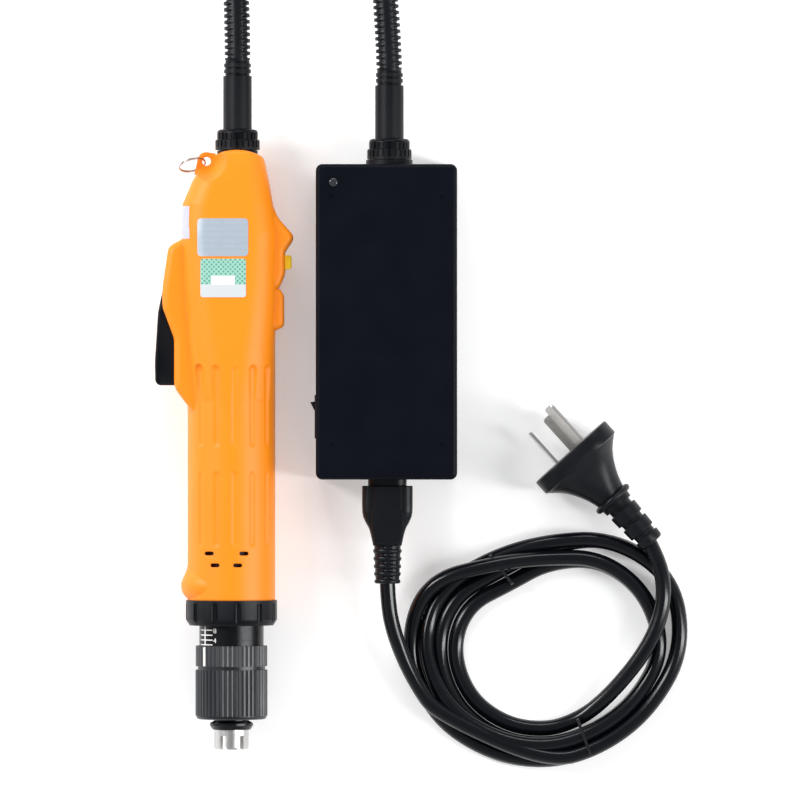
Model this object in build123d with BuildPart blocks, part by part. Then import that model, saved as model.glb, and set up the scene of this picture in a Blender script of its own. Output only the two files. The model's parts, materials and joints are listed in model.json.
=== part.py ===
from build123d import *
import math
import os

# Electric torque screwdriver with its power supply and both cords, lying on a bench.
# X runs across, Y runs from the bit end up to the cord end, Z is up from the bench.
# All lengths are millimetres. The driver's own heights are measured up from the lower
# end of the orange housing, and its own X is measured from its turning axis.

os.makedirs("parts", exist_ok=True)

# Clearances
SEAT = 0.1
RUN = 0.3
BEARING_PLAY = 0.05

# Driver, place and nose
DRIVER_X = -33.75
HOUSING_END_Y = -68.2
LOCK_COLLAR_D = 41.0
LOCK_COLLAR_L = 11.3
COLLAR_WALL = 2.6
COLLAR_FLUTES = 12
FLUTE_PHASE = 9.0
SCALE_D = 29.0
SCALE_L = 9.2
THREAD_D = 28.0
TUBE_BORE = 24.0
TUBE_TAIL = 9.0
SPIGOT_L = 7.0
FLANGE_T = 2.3
INDEX_RING_D = 32.2
INDEX_RING_L = 9.2
RING_GROOVE_L = 1.6
RING_GROOVE_DEPTH = 0.9
SLEEVE_D = 32.4
SLEEVE_L = 22.3
SLEEVE_FLOOR = 3.0
SLEEVE_RISE = 8.2
KNURL_COUNT = 48
KNURL_DEPTH = 0.4
BIT_COLLAR_D = 19.6
BIT_COLLAR_L = 4.7
BIT_COLLAR_GAP = 0.6
CROWN_D = 15.6
CROWN_L = 8.8
CROWN_WALL = 1.7
CROWN_DISC = 2.0
CROWN_TEETH = 6
CROWN_GAP_ANGLE = 23.0
CROWN_PHASE = 4.0
SPINDLE_D = 9.0
BIT_BORE = 5.1
BIT_BORE_L = 16.0
LOCK_BALL_D = 1.9

# Clutch and gearbox
CARRIER_L = 4.0
CARRIER_D = 22.4
BEARING_L = 5.0
BEARING_GAP = 0.6
CAM_L = 3.4
CLUTCH_BALLS = 6
CLUTCH_BALL_D = 3.2
CLUTCH_PITCH_R = 8.0
POCKET_DEPTH = 0.6
PRESSURE_RING_L = 3.2
WASHER_L = 1.2
TORQUE_SPRING_R = 10.0
TORQUE_WIRE_D = 2.0
TORQUE_COILS = 5
GEAR_MODULE = 0.5
SUN_TEETH = 12
PLANET_TEETH = 18
PLANETS = 3
GEAR_L = 8.0
GEAR_GAP = 0.6
RING_L = 12.0
RING_D = 30.0
PLANET_PIN_D = 3.0

# Motor
MOTOR_D = 33.4
BELL_L = 3.0
MOTOR_L = 58.0
CAN_WALL = 5.0
CAN_END = 3.0
ROTOR_D = 22.0
ROTOR_L = 44.0
SHAFT_D = 4.6
SHAFT_BEARING_D = 10.0

# Housing
HOUSING_L = 202.2
GRIP_D = 39.4
GRIP_TOP = 90.0
WALL = 2.5
TOP_ROUND = 2.0
TOP_ARCH_R = 23.4
RIDGE_W = 23.0
GUARD_W = 20.0
KNUCKLE_W = 17.0
EAR_X = -11.25
EAR_FROM_TOP = 4.8
EAR_R = 4.1
EAR_T = 3.5
EAR_HOLE = 4.0
LIP_PROUD = 3.0
LIP_SHIFT = 5.2
LIP_PEAK = 7.0
LIP_TOP = 17.0
GROOVE_ANGLES = (-43.3, -19.0, 5.3, 29.6, 53.9)
GROOVE_R = 3.0
GROOVE_DEPTH = 0.5
UPPER_GROOVE = (67.5, 106.5)
LOWER_GROOVE = (22.6, 59.5)
VENT_W = 4.0
VENT_H = 1.7
VENTS = ((-9.6, 21.2), (5.85, 21.2), (-7.0, 15.9), (3.1, 15.9))
SCREW_D = 2.6
SCREW_HEAD_D = 5.0
SCREW_HEAD_L = 2.0
SCREW_SINK = 4.5
SCREW_REACH = 8.0
BOSS_D = 6.2
HOUSING_SCREWS = ((-13.0, 174.0), (11.6, 174.0), (-13.0, 149.0), (11.6, 130.0))

# Trigger lever, reversing switch and hang ring
LEVER_W = 15.0
LEVER_TOP = 140.3
LEVER_END = 96.6
LEVER_PIVOT = (-27.0, 136.0)
LEVER_PIN_D = 2.4
SLOT_DEPTH = 16.5
BUTTON_LOW = 148.8
BUTTON_L = 6.3
BUTTON_W = 6.6
BUTTON_TIP = 27.1
BUTTON_ROOT = 17.6
BUTTON_TRAVEL = 2.4
REVERSER_W = 10.0
REVERSER_L = 15.0
REVERSER_T = 6.4
TRIGGER_W = 10.0
TRIGGER_L = 20.0
TRIGGER_T = 6.0
TRIGGER_LOW = 103.0
PLUNGER_D = 2.4
RING_WIRE_D = 1.25
HANG_RING_R = 6.25
RING_TURN = 194.0
RING_TILT = 65.0
BOARD_W = 16.0
BOARD_L = 72.0
BOARD_LOW = 104.0
BOARD_T = 1.6
BOARD_DROP = 8.0

# Low-voltage plug, the same at both ends of the driver cord
SOCKET_X = 2.7
SOCKET_D = 18.2
SOCKET_L = 22.0
SOCKET_NECK_D = 15.0
SOCKET_NECK_L = 2.4
PLUG_D = 12.9
PLUG_SLEEVE_L = 24.0
PLUG_NOSE_L = 17.0
BIG_STEP_D = 20.0
BIG_STEP_L = 4.6
SMALL_STEP_D = 18.3
SMALL_STEP_L = 4.6
STEP_RIBS = 24
STEP_RIB_DEPTH = 0.45
STEP_RIB_GAP = 0.9
STEP_ROUND = 1.6
RIB_BAND_L = 1.2
NECK_D = 11.0
NECK_RIB_D = 12.2
NECK_L = 6.6
BOOT_D = 11.8
CORD_D = 7.0

# Power supply
CASE_X = 36.0
CASE_W = 63.4
CASE_END_Y = -13.9
CASE_L = 141.5
CASE_H = 38.0
CASE_WALL = 2.4
CASE_CORNER = 3.0
CASE_ROUND = 2.0
SEAM_Z = 19.0
SUPPLY_SOCKET_X = 37.3
SUPPLY_BOSS_D = 21.0
SUPPLY_BOSS_L = 2.2
CASE_BOSS_D = 6.4
CASE_BOSS_X = 24.7
CASE_BOSS_LOW = 15.4
CASE_BOSS_FROM_TOP = 14.9
MARK_D = 2.0
MARK_DEPTH = 0.4
LENS_X = -23.8
LENS_FROM_TOP = 8.2
LENS_D = 4.0
ROCKER_FROM_END = 28.2
ROCKER_L = 14.2
ROCKER_W = 9.0
ROCKER_TILT = 13.0
ROCKER_PIVOT_D = 2.0
FRAME_WALL = 1.0
FRAME_DEPTH = 9.0
FRAME_LIP = 1.2
FRAME_PROUD = 0.6
SUPPLY_BOARD_W = 40.0
SUPPLY_BOARD_FROM_END = 21.0
SUPPLY_BOARD_FROM_TOP = 20.5
BOARD_POST_IN = 5.0
SUPPLY_BOARD_Z = 6.0
TRANSFORMER_L = 26.0
TRANSFORMER_W = 24.0
TRANSFORMER_H = 20.0

# Mains inlet and lead connector
INLET_X = 36.4
NOSE_W = 17.6
NOSE_H = 12.6
NOSE_CORNER = 4.5
NOSE_INSIDE = 13.0
NOSE_NECK = 2.8
INLET_WALL = 2.4
INLET_FLOOR = 2.0
INLET_PIN_D = 2.4
INLET_PIN_L = 9.0
INLET_PINS = ((-4.2, -2.0), (4.2, -2.0), (0.0, 2.6))
CONNECTOR_W = 22.8
CONNECTOR_H = 17.0
CONNECTOR_L = 12.4
CONNECTOR_TAPER_L = 14.4
CONNECTOR_END_W = 13.0
CONNECTOR_CORNER = 4.0
CONNECTOR_WAIST = ((0, 0), (0.15, 0.08), (0.3, 0.3), (0.46, 0.61), (0.6, 0.73), (0.76, 0.85), (1, 1))
PANEL_PROUD = 0.5
PANEL_W = 12.1
WAIST_PANEL_W = 14.0
PANEL_END_W = 10.4
LEAD_BOOT_D = 12.4
LEAD_BOOT_END_D = 11.5
LEAD_BOOT_L = 16.9
LEAD_RINGS = 5

# Mains plug
MAINS_PLUG_X = 118.7
MAINS_PLUG_Y = -1.4
MAINS_PLUG_TURN = 132.0
PLUG_FACE_W = 41.8
PLUG_FACE_H = 34.0
PLUG_FACE_CORNER = 13.0
PLUG_RIM_L = 7.1
PLUG_RIM_ROUND = 0.6
PLUG_CONE_L = 20.0
PLUG_BELL = ((0, 1), (0.12, 0.78), (0.24, 0.59), (0.45, 0.36), (0.72, 0.14), (1, 0))
PLUG_NECK_D = 15.0
PLUG_RING_D = 19.0
PLUG_RING_L = 3.2
MAINS_BOOT_D = 14.2
MAINS_BOOT_END_D = 12.4
MAINS_BOOT_L = 20.3
MAINS_BLOCKS = 3
MAINS_SLOT_W = 1.3
MAINS_SLOT_DEPTH = 1.3
PIN_W = 6.35
PIN_T = 1.6
PIN_L = 18.0
EARTH_PIN_L = 21.0
PIN_PITCH_R = 7.92
EARTH_PITCH_R = 10.31
EARTH_ANGLE = 60.0

# Mains lead coil as it lies, and the put-away coil of the driver cord
COIL_X = 108.7
COIL_Y = -90.9
COIL_SEMI_X = 65.5
COIL_SEMI_Y = 50.5
COIL_TURN = 14.0
COIL_HOLE_X = 110.6
COIL_HOLE_Y = -90.4
COIL_HOLE_SEMI_X = 43.5
COIL_HOLE_SEMI_Y = 33.5
COIL_H = 14.0
STORE_X = 1.6
STORE_Y = 266.0
STORE_R = 36.0
STORE_COLUMNS = 4
STORE_LAYERS = 2
STORE_PITCH = 7.2

# Worked out from the sizes above
AXIS_Z = LOCK_COLLAR_D / 2
CASE_Z = SEAM_Z
COLLAR_END = -LOCK_COLLAR_L
INDEX_TOP = COLLAR_END - SCALE_L
INDEX_END = INDEX_TOP - INDEX_RING_L
SLEEVE_TOP = INDEX_END - RING_GROOVE_L
SLEEVE_END = SLEEVE_TOP - SLEEVE_L
CROWN_TOP = SLEEVE_END - BIT_COLLAR_L
CROWN_END = CROWN_TOP - CROWN_L
SPIGOT_R = LOCK_COLLAR_D / 2 - COLLAR_WALL
SPIGOT_END = -SPIGOT_L
FLANGE_END = SPIGOT_END - FLANGE_T
TUBE_END = SLEEVE_TOP - TUBE_TAIL
BEARING_SEAT_R = TUBE_BORE / 2
GRIP_BORE_R = MOTOR_D / 2 + 2 * SEAT
PLANET_LOW = SPIGOT_END + 2.0
CARRIER_TOP = PLANET_LOW - GEAR_GAP
CARRIER_LOW = CARRIER_TOP - CARRIER_L
BEARING_TOP = CARRIER_LOW - BEARING_GAP
BEARING_LOW = BEARING_TOP - BEARING_L
CAM_TOP = BEARING_LOW - BEARING_GAP
CAM_LOW = CAM_TOP - CAM_L
BALL_Y = CAM_LOW + POCKET_DEPTH - CLUTCH_BALL_D / 2
PRESSURE_TOP = BALL_Y - CLUTCH_BALL_D / 2 + POCKET_DEPTH
PRESSURE_LOW = PRESSURE_TOP - PRESSURE_RING_L
FLOOR_TOP = SLEEVE_END + SLEEVE_FLOOR
WASHER_TOP = FLOOR_TOP + WASHER_L
BALL_LOCK_Y = CROWN_TOP + 3.0
COLLAR_TOP = SLEEVE_END + 3.6
SNAP_LOW = COLLAR_TOP + 4.0
SNAP_L = 0.9
BELL_LOW = SPIGOT_END + RING_L
CAN_LOW = BELL_LOW + BELL_L
CAN_TOP = CAN_LOW + MOTOR_L
HOUSING_TOP_Y = HOUSING_END_Y + HOUSING_L
EAR_HEIGHT = HOUSING_L - EAR_FROM_TOP
CASE_END = CASE_END_Y
CASE_TOP_Y = CASE_END_Y + CASE_L
SUPPLY_BOARD_L = CASE_L - SUPPLY_BOARD_FROM_END - SUPPLY_BOARD_FROM_TOP
CASE_LEFT = CASE_X - CASE_W / 2

DRIVER_AXIS = Axis((DRIVER_X, 0, AXIS_Z), (0, 1, 0))
DRIVER_PLANE = Plane(origin=(DRIVER_X, HOUSING_END_Y, AXIS_Z))


def across(height, x=0.0):
    """Plane square to the driver's axis at a height, looking up the axis."""
    return Plane(
        origin=(DRIVER_X + x, HOUSING_END_Y + height, AXIS_Z),
        x_dir=(1, 0, 0),
        z_dir=(0, 1, 0),
    )


def write(piece, name):
    """Label a finished piece and write its file."""
    piece.part.label = name
    export_step(piece.part, f"parts/{name}.step")


def turned(points):
    """A round piece of the driver from radius and height points."""
    with BuildPart() as piece:
        with BuildSketch(DRIVER_PLANE):
            Polygon(*points, align=None)
        revolve(axis=DRIVER_AXIS)
    return piece


def ring_points(inner, outer, low, high):
    return [(inner, low), (outer, low), (outer, high), (inner, high)]


def polar(radius, degrees):
    """A point in a plane across the driver, by its angle from straight up towards +X."""
    angle = math.radians(degrees)
    return (radius * math.sin(angle), -radius * math.cos(angle))


def gear_points(teeth, root_r, tip_r, first_angle):
    """Outline of a gear with wedge teeth and room between them for backlash."""
    step = 360 / teeth
    points = []
    for tooth in range(teeth):
        middle = first_angle + tooth * step
        for radius, share in ((root_r, -0.3), (tip_r, -0.12), (tip_r, 0.12), (root_r, 0.3)):
            angle = math.radians(middle + share * step)
            points.append((radius * math.cos(angle), radius * math.sin(angle)))
    return points


def star_points(count, outer, depth):
    """Outline of a knurled or ribbed ring."""
    points = []
    for index in range(count):
        for radius, share in ((outer, -0.2), (outer, 0.2), (outer - depth, 0.5)):
            angle = 2 * math.pi * (index + share) / count
            points.append((radius * math.cos(angle), radius * math.sin(angle)))
    return points


# Housing, first as one outer form
def body_section(height, left, right, half_depth, corner, inset=0.0):
    """One cross-section of the upper body, or of its cavity when it is inset."""
    width = right - left - 2 * inset
    depth = 2 * (half_depth - inset)
    corner = min(corner - inset, width / 2 - 0.2, depth / 2 - 0.2)
    with BuildSketch(across(height, (left + right) / 2)) as section:
        RectangleRounded(width, depth, corner)
    return section.sketch


HALF_GRIP = GRIP_D / 2
BODY_SECTIONS = (
    (GRIP_TOP, -HALF_GRIP, HALF_GRIP, HALF_GRIP, HALF_GRIP - 0.3),
    (115.0, -20.8, 19.6, 19.4, 16.0),
    (140.0, -21.8, 20.2, 19.0, 13.0),
    (165.0, -22.4, 20.6, 18.8, 12.0),
    (178.0, -21.8, 18.7, 18.5, 11.5),
    (188.0, -17.6, 16.9, 17.8, 11.0),
    (196.0, -12.8, 15.2, 16.8, 9.5),
    (HOUSING_L, -10.6, 13.6, 15.4, 8.5),
)

def side_form(points, radii, width, soft):
    """A plate of the housing seen from above, with its edges rounded on both faces."""
    with BuildPart() as piece:
        with BuildSketch(Plane(origin=(DRIVER_X, HOUSING_END_Y, AXIS_Z - width / 2))):
            with BuildLine():
                edge = FilletPolyline(*points, radius=radii)
                Line(edge @ 1, edge @ 0)
            make_face()
        extrude(amount=width)
        fillet(piece.faces().sort_by(Axis.Z)[-1].edges(), soft)
        fillet(piece.faces().sort_by(Axis.Z)[0].edges(), soft)
    return piece.part


left_ridge = side_form(
    [
        (-12.0, 163.5),
        (-20.5, 163.0),
        (-28.2, 158.9),
        (-30.9, 140.0),
        (-30.8, 131.5),
        (-25.6, 117.5),
        (-25.6, 95.5),
        (-16.5, 83.4),
        (-12.0, 83.0),
    ],
    (5, 4.5, 40, 9, 9, 8, 6),
    RIDGE_W,
    3.0,
)
switch_guard = side_form(
    [
        (10.0, 180.5),
        (18.4, 179.0),
        (20.6, 172.4),
        (28.6, 163.2),
        (24.0, 156.2),
        (24.3, 147.0),
        (21.2, 139.4),
        (10.0, 139.4),
    ],
    (6, 10, 3.4, 3, 10, 4),
    GUARD_W,
    2.8,
)
knuckle = side_form(
    [
        (10.0, 140.5),
        (21.6, 140.5),
        (23.7, 136.8),
        (23.7, 123.0),
        (19.4, 121.0),
        (10.0, 121.0),
    ],
    (3, 3, 2.6, 2.6),
    KNUCKLE_W,
    2.2,
)

with BuildPart() as hand_lip:
    lip_axis_x = -LIP_SHIFT
    lip_r = HALF_GRIP + LIP_PROUD - LIP_SHIFT
    with BuildSketch(Plane(origin=(DRIVER_X + lip_axis_x, HOUSING_END_Y, AXIS_Z))):
        with BuildLine():
            low = (lip_r - 3.4, 0.4)
            high = (lip_r - 3.2, LIP_TOP)
            brow = Spline(low, (lip_r, LIP_PEAK), high, tangents=((0.9, 0.5), (-0.12, 1)))
            Polyline(high, (lip_r - 9, LIP_TOP), (lip_r - 9, 0.4), low)
        make_face()
    revolve(axis=Axis((DRIVER_X + lip_axis_x, 0, AXIS_Z), (0, 1, 0)))

with BuildPart() as outer_body:
    with BuildSketch(across(0)):
        Circle(HALF_GRIP)
    extrude(amount=GRIP_TOP)
    loft([body_section(*row) for row in BODY_SECTIONS], ruled=True)
    # The top is an arch about the socket
    with BuildSketch(Plane(origin=(DRIVER_X + SOCKET_X, HOUSING_TOP_Y, 0))):
        Rectangle(3 * TOP_ARCH_R, TOP_ARCH_R / 2)
        with Locations((0, -TOP_ARCH_R)):
            Circle(TOP_ARCH_R, mode=Mode.SUBTRACT)
    extrude(amount=2 * LOCK_COLLAR_D, both=True, mode=Mode.SUBTRACT)
    fillet(outer_body.faces().sort_by(Axis.Y)[-1].edges(), TOP_ROUND)
    with BuildSketch(Plane(origin=(DRIVER_X, HOUSING_END_Y, AXIS_Z - EAR_T / 2))):
        with Locations((EAR_X, EAR_HEIGHT)):
            Circle(EAR_R)
        Polygon(
            (EAR_X - EAR_R, EAR_HEIGHT),
            (EAR_X - EAR_R - 1.4, EAR_HEIGHT - 6.0),
            (EAR_X + EAR_R, EAR_HEIGHT - 8.0),
            (EAR_X + EAR_R, EAR_HEIGHT + 3.4),
            (EAR_X, EAR_HEIGHT + EAR_R),
            align=None,
        )
    extrude(amount=EAR_T)
    add(left_ridge)
    add(switch_guard)
    add(knuckle)
    add(hand_lip.part)

LEDGE_BACK = 20.0
TRIGGER_X = -SLOT_DEPTH
REVERSER_X = BUTTON_ROOT - RUN - REVERSER_T
BOARD_Z = AXIS_Z - BOARD_DROP
BOARD_POSTS = [(x, y) for x in (-6.5, 6.5) for y in (BOARD_LOW + 5.0, BOARD_LOW + BOARD_L - 5.0)]

with BuildPart() as cavity:
    with BuildSketch(across(0)):
        Circle(GRIP_BORE_R)
    extrude(amount=GRIP_TOP)
    loft([body_section(*row, inset=WALL) for row in BODY_SECTIONS[:-2]], ruled=True)
    with BuildSketch(across(GRIP_TOP - 20)):
        Circle(GRIP_BORE_R)
    extrude(amount=24)
    with BuildSketch(Plane(origin=(DRIVER_X, HOUSING_END_Y, AXIS_Z - LEDGE_BACK))):
        with Locations(*HOUSING_SCREWS):
            Circle(BOSS_D / 2)
    extrude(amount=2 * LEDGE_BACK, mode=Mode.SUBTRACT)
    with BuildSketch(Plane(origin=(DRIVER_X, HOUSING_END_Y, AXIS_Z - LEDGE_BACK))):
        with Locations(*BOARD_POSTS):
            Circle(1.6)
    extrude(amount=LEDGE_BACK - BOARD_DROP, mode=Mode.SUBTRACT)
    with BuildSketch(Plane(origin=(DRIVER_X, HOUSING_END_Y, AXIS_Z - LEDGE_BACK))):
        with Locations((TRIGGER_X + TRIGGER_T / 2, TRIGGER_LOW + TRIGGER_L / 2)):
            Rectangle(TRIGGER_T - 2, TRIGGER_L - 4)
    extrude(amount=LEDGE_BACK - TRIGGER_W / 2, mode=Mode.SUBTRACT)
    with BuildSketch(Plane(origin=(DRIVER_X, HOUSING_END_Y, AXIS_Z - LEDGE_BACK))):
        with Locations((REVERSER_X + REVERSER_T / 2, BUTTON_LOW + REVERSER_L / 2 - 3.5)):
            Rectangle(REVERSER_T - 2, REVERSER_L - 4)
    extrude(amount=LEDGE_BACK - REVERSER_W / 2, mode=Mode.SUBTRACT)

with BuildPart() as housing:
    add(outer_body.part)
    with BuildSketch(across(SPIGOT_END)):
        Circle(SPIGOT_R - SEAT)
    extrude(amount=SPIGOT_L)
    add(cavity.part, mode=Mode.SUBTRACT)
    with BuildSketch(across(SPIGOT_END)):
        Circle(RING_D / 2 + SEAT)
    extrude(amount=SPIGOT_L, mode=Mode.SUBTRACT)
    with BuildSketch(across(HOUSING_L - SOCKET_L - 6, SOCKET_X)):
        Circle(SOCKET_D / 2 + SEAT)
    extrude(amount=SOCKET_L + 12, mode=Mode.SUBTRACT)
    # Slot for the lever, open to the cavity
    with BuildSketch(Plane(origin=(DRIVER_X, HOUSING_END_Y, AXIS_Z - LEVER_W / 2 - RUN))):
        with Locations(((-SLOT_DEPTH - 40) / 2, (LEVER_TOP + LEVER_END) / 2)):
            Rectangle(40 - SLOT_DEPTH, LEVER_TOP - LEVER_END + 4 * RUN)
    extrude(amount=LEVER_W + 2 * RUN, mode=Mode.SUBTRACT)
    with BuildSketch(Plane(origin=(DRIVER_X, HOUSING_END_Y, AXIS_Z - RIDGE_W / 2 + 1.6))):
        with Locations(LEVER_PIVOT):
            Circle(LEVER_PIN_D / 2 + SEAT / 2)
    extrude(amount=RIDGE_W - 3.2, mode=Mode.SUBTRACT)
    # Slot for the reversing switch
    with BuildSketch(Plane(origin=(DRIVER_X, HOUSING_END_Y, AXIS_Z - BUTTON_W / 2 - RUN))):
        with Locations(((BUTTON_ROOT + BUTTON_TIP) / 2, BUTTON_LOW + (BUTTON_L + BUTTON_TRAVEL) / 2)):
            Rectangle(BUTTON_TIP - BUTTON_ROOT + 6, BUTTON_L + BUTTON_TRAVEL + 2 * RUN)
    extrude(amount=BUTTON_W + 2 * RUN, mode=Mode.SUBTRACT)
    # Scoops on both faces that leave the ear thin, and the ear's hole
    for side in (1, -1):
        scoop_plane = Plane(
            origin=(DRIVER_X, HOUSING_END_Y, AXIS_Z + side * EAR_T / 2),
            x_dir=(1, 0, 0),
            z_dir=(0, 0, side),
        )
        with BuildSketch(scoop_plane):
            with Locations((EAR_X, side * EAR_HEIGHT)):
                Circle(3.4)
            with Locations((EAR_X - 8, side * EAR_HEIGHT)):
                Rectangle(16, 6.8)
        extrude(amount=20, taper=-21, mode=Mode.SUBTRACT)
    with BuildSketch(Plane(origin=(DRIVER_X, HOUSING_END_Y, AXIS_Z - EAR_T))):
        with Locations((EAR_X, EAR_HEIGHT)):
            Circle(EAR_HOLE / 2)
    extrude(amount=2 * EAR_T, mode=Mode.SUBTRACT)
    # Round-ended grip grooves, and vents, on both faces
    groove_places = [
        polar(HALF_GRIP + GROOVE_R - GROOVE_DEPTH, angle)
        for front in GROOVE_ANGLES
        for angle in (front, 180 - front)
    ]
    for low_end, high_end in (UPPER_GROOVE, LOWER_GROOVE):
        with BuildSketch(across(low_end + GROOVE_R)):
            with Locations(*groove_places):
                Circle(GROOVE_R)
        extrude(amount=high_end - low_end - 2 * GROOVE_R, mode=Mode.SUBTRACT)
        for end in (low_end + GROOVE_R, high_end - GROOVE_R):
            with Locations(across(end)):
                with Locations(*[(x, y, 0) for x, y in groove_places]):
                    Sphere(GROOVE_R, mode=Mode.SUBTRACT)
    with BuildSketch(Plane(origin=(DRIVER_X, HOUSING_END_Y, AXIS_Z - LEDGE_BACK))):
        with Locations(*VENTS):
            SlotOverall(VENT_W, VENT_H)
    extrude(amount=2 * LEDGE_BACK, mode=Mode.SUBTRACT)

with BuildPart() as housing_front:
    add(housing.part)
    split(bisect_by=Plane.XY.offset(AXIS_Z), keep=Keep.TOP)
    with BuildSketch(Plane(origin=(DRIVER_X, HOUSING_END_Y, AXIS_Z))):
        with Locations(*HOUSING_SCREWS):
            Circle(SCREW_D / 2 + SEAT)
    extrude(amount=SCREW_REACH + SEAT, mode=Mode.SUBTRACT)
write(housing_front, "housing_front")

with BuildPart() as housing_back:
    add(housing.part)
    split(bisect_by=Plane.XY.offset(AXIS_Z), keep=Keep.BOTTOM)
    with BuildSketch(Plane(origin=(DRIVER_X, HOUSING_END_Y, 0))):
        with Locations(*HOUSING_SCREWS):
            Circle(SCREW_D / 2 + SEAT)
    extrude(amount=AXIS_Z, mode=Mode.SUBTRACT)
    with BuildSketch(Plane(origin=(DRIVER_X, HOUSING_END_Y, 0))):
        with Locations(*HOUSING_SCREWS):
            Circle(SCREW_HEAD_D / 2 + RUN)
    extrude(amount=SCREW_SINK + SCREW_HEAD_L, mode=Mode.SUBTRACT)
write(housing_back, "housing_back")


def screw_group(plane, places, head_low, shank_top):
    """Identical screws that point up from a plane, with a cross recess each."""
    with BuildPart() as screws:
        with BuildSketch(plane.offset(head_low)):
            with Locations(*places):
                Circle(SCREW_HEAD_D / 2)
        extrude(amount=SCREW_HEAD_L)
        with BuildSketch(plane.offset(head_low + SCREW_HEAD_L)):
            with Locations(*places):
                Circle(SCREW_D / 2)
        extrude(amount=shank_top - head_low - SCREW_HEAD_L)
        with BuildSketch(plane.offset(head_low)):
            with Locations(*places):
                Rectangle(3.0, 0.8)
                Rectangle(0.8, 3.0)
        extrude(amount=1.0, mode=Mode.SUBTRACT)
    return screws


housing_screws = screw_group(
    Plane(origin=(DRIVER_X, HOUSING_END_Y, 0)),
    HOUSING_SCREWS,
    SCREW_SINK,
    AXIS_Z + SCREW_REACH,
)
write(housing_screws, "housing_screws")

# Lock collar that clamps the two halves and the scale tube
with BuildPart() as lock_collar:
    with BuildSketch(DRIVER_PLANE):
        Polygon(
            (SPIGOT_R, 0),
            (LOCK_COLLAR_D / 2, 0),
            (LOCK_COLLAR_D / 2, COLLAR_END + 2.6),
            (LOCK_COLLAR_D / 2 - 1.6, COLLAR_END),
            (SCALE_D / 2 + SEAT, COLLAR_END),
            (SCALE_D / 2 + SEAT, FLANGE_END),
            (SPIGOT_R, FLANGE_END),
            align=None,
        )
    revolve(axis=DRIVER_AXIS)
    with BuildSketch(across(COLLAR_END)):
        for index in range(COLLAR_FLUTES):
            with Locations(polar(LOCK_COLLAR_D / 2 + 0.7, FLUTE_PHASE + index * 360 / COLLAR_FLUTES)):
                Circle(1.6)
    extrude(amount=LOCK_COLLAR_L - 1.4, mode=Mode.SUBTRACT)
write(lock_collar, "lock_collar")

scale_tube = turned(
    [
        (BEARING_SEAT_R, SPIGOT_END),
        (SPIGOT_R - SEAT, SPIGOT_END),
        (SPIGOT_R - SEAT, FLANGE_END),
        (SCALE_D / 2, FLANGE_END),
        (SCALE_D / 2, INDEX_END),
        (THREAD_D / 2, INDEX_END),
        (THREAD_D / 2, TUBE_END),
        (BEARING_SEAT_R - 0.4, TUBE_END),
        (BEARING_SEAT_R - 0.4, BEARING_LOW),
        (BEARING_SEAT_R, BEARING_LOW),
    ]
)
write(scale_tube, "scale_tube")

# Torque setting: knurled sleeve, index ring and the washer under the spring
with BuildPart() as torque_sleeve:
    with BuildSketch(across(SLEEVE_END + 1.6)):
        Polygon(*star_points(KNURL_COUNT, SLEEVE_D / 2, KNURL_DEPTH), align=None)
    extrude(amount=SLEEVE_L - 1.6)
    with BuildSketch(DRIVER_PLANE):
        with BuildLine():
            corner_r = SLEEVE_D / 2 - KNURL_DEPTH
            Polyline((0, SLEEVE_END), (corner_r - 1.6, SLEEVE_END))
            Spline(
                (corner_r - 1.6, SLEEVE_END),
                (corner_r, SLEEVE_END + 1.6),
                tangents=((1, 0), (0, 1)),
            )
            Polyline((corner_r, SLEEVE_END + 1.6), (0, SLEEVE_END + 1.6), (0, SLEEVE_END))
        make_face()
    revolve(axis=DRIVER_AXIS)
    with BuildSketch(across(SLEEVE_TOP)):
        Circle(INDEX_RING_D / 2 - RING_GROOVE_DEPTH)
    extrude(amount=RING_GROOVE_L)
    with BuildSketch(across(FLOOR_TOP)):
        Circle(THREAD_D / 2 + RUN)
    extrude(amount=INDEX_END - FLOOR_TOP, mode=Mode.SUBTRACT)
    # The upper bore clears the scale when the sleeve is screwed up
    with BuildSketch(across(INDEX_END - SLEEVE_RISE - 2 * RUN)):
        Circle(SCALE_D / 2 + RUN)
    extrude(amount=SLEEVE_RISE + 2 * RUN, mode=Mode.SUBTRACT)
    with BuildSketch(across(SLEEVE_END)):
        Circle(BIT_COLLAR_D / 2 + BIT_COLLAR_GAP)
    extrude(amount=SLEEVE_FLOOR, mode=Mode.SUBTRACT)
write(torque_sleeve, "torque_sleeve")

with BuildPart() as index_ring:
    with BuildSketch(across(INDEX_END)):
        Polygon(*star_points(KNURL_COUNT, INDEX_RING_D / 2, KNURL_DEPTH), align=None)
        Circle(SCALE_D / 2 + RUN, mode=Mode.SUBTRACT)
    extrude(amount=INDEX_RING_L)
write(index_ring, "index_ring")

thrust_washer = turned(
    ring_points(TORQUE_SPRING_R - TORQUE_WIRE_D, THREAD_D / 2 - 0.6, FLOOR_TOP, WASHER_TOP)
)
write(thrust_washer, "thrust_washer")


def coil_spring(low, high, radius, wire, coils):
    """A round-wire spring on the driver's axis, its ends just clear of both seats."""
    with BuildPart() as spring:
        start = low + wire / 2 + SEAT
        height = high - low - wire - 2 * SEAT
        with BuildLine() as path:
            Helix(
                pitch=height / coils,
                height=height,
                radius=radius,
                center=(DRIVER_X, HOUSING_END_Y + start, AXIS_Z),
                direction=(0, 1, 0),
            )
        with BuildSketch(Plane(origin=path.line @ 0, z_dir=path.line % 0)):
            Circle(wire / 2)
        sweep(path=path.line)
    return spring


torque_spring = coil_spring(
    WASHER_TOP, PRESSURE_LOW, TORQUE_SPRING_R, TORQUE_WIRE_D, TORQUE_COILS
)
write(torque_spring, "torque_spring")

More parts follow.
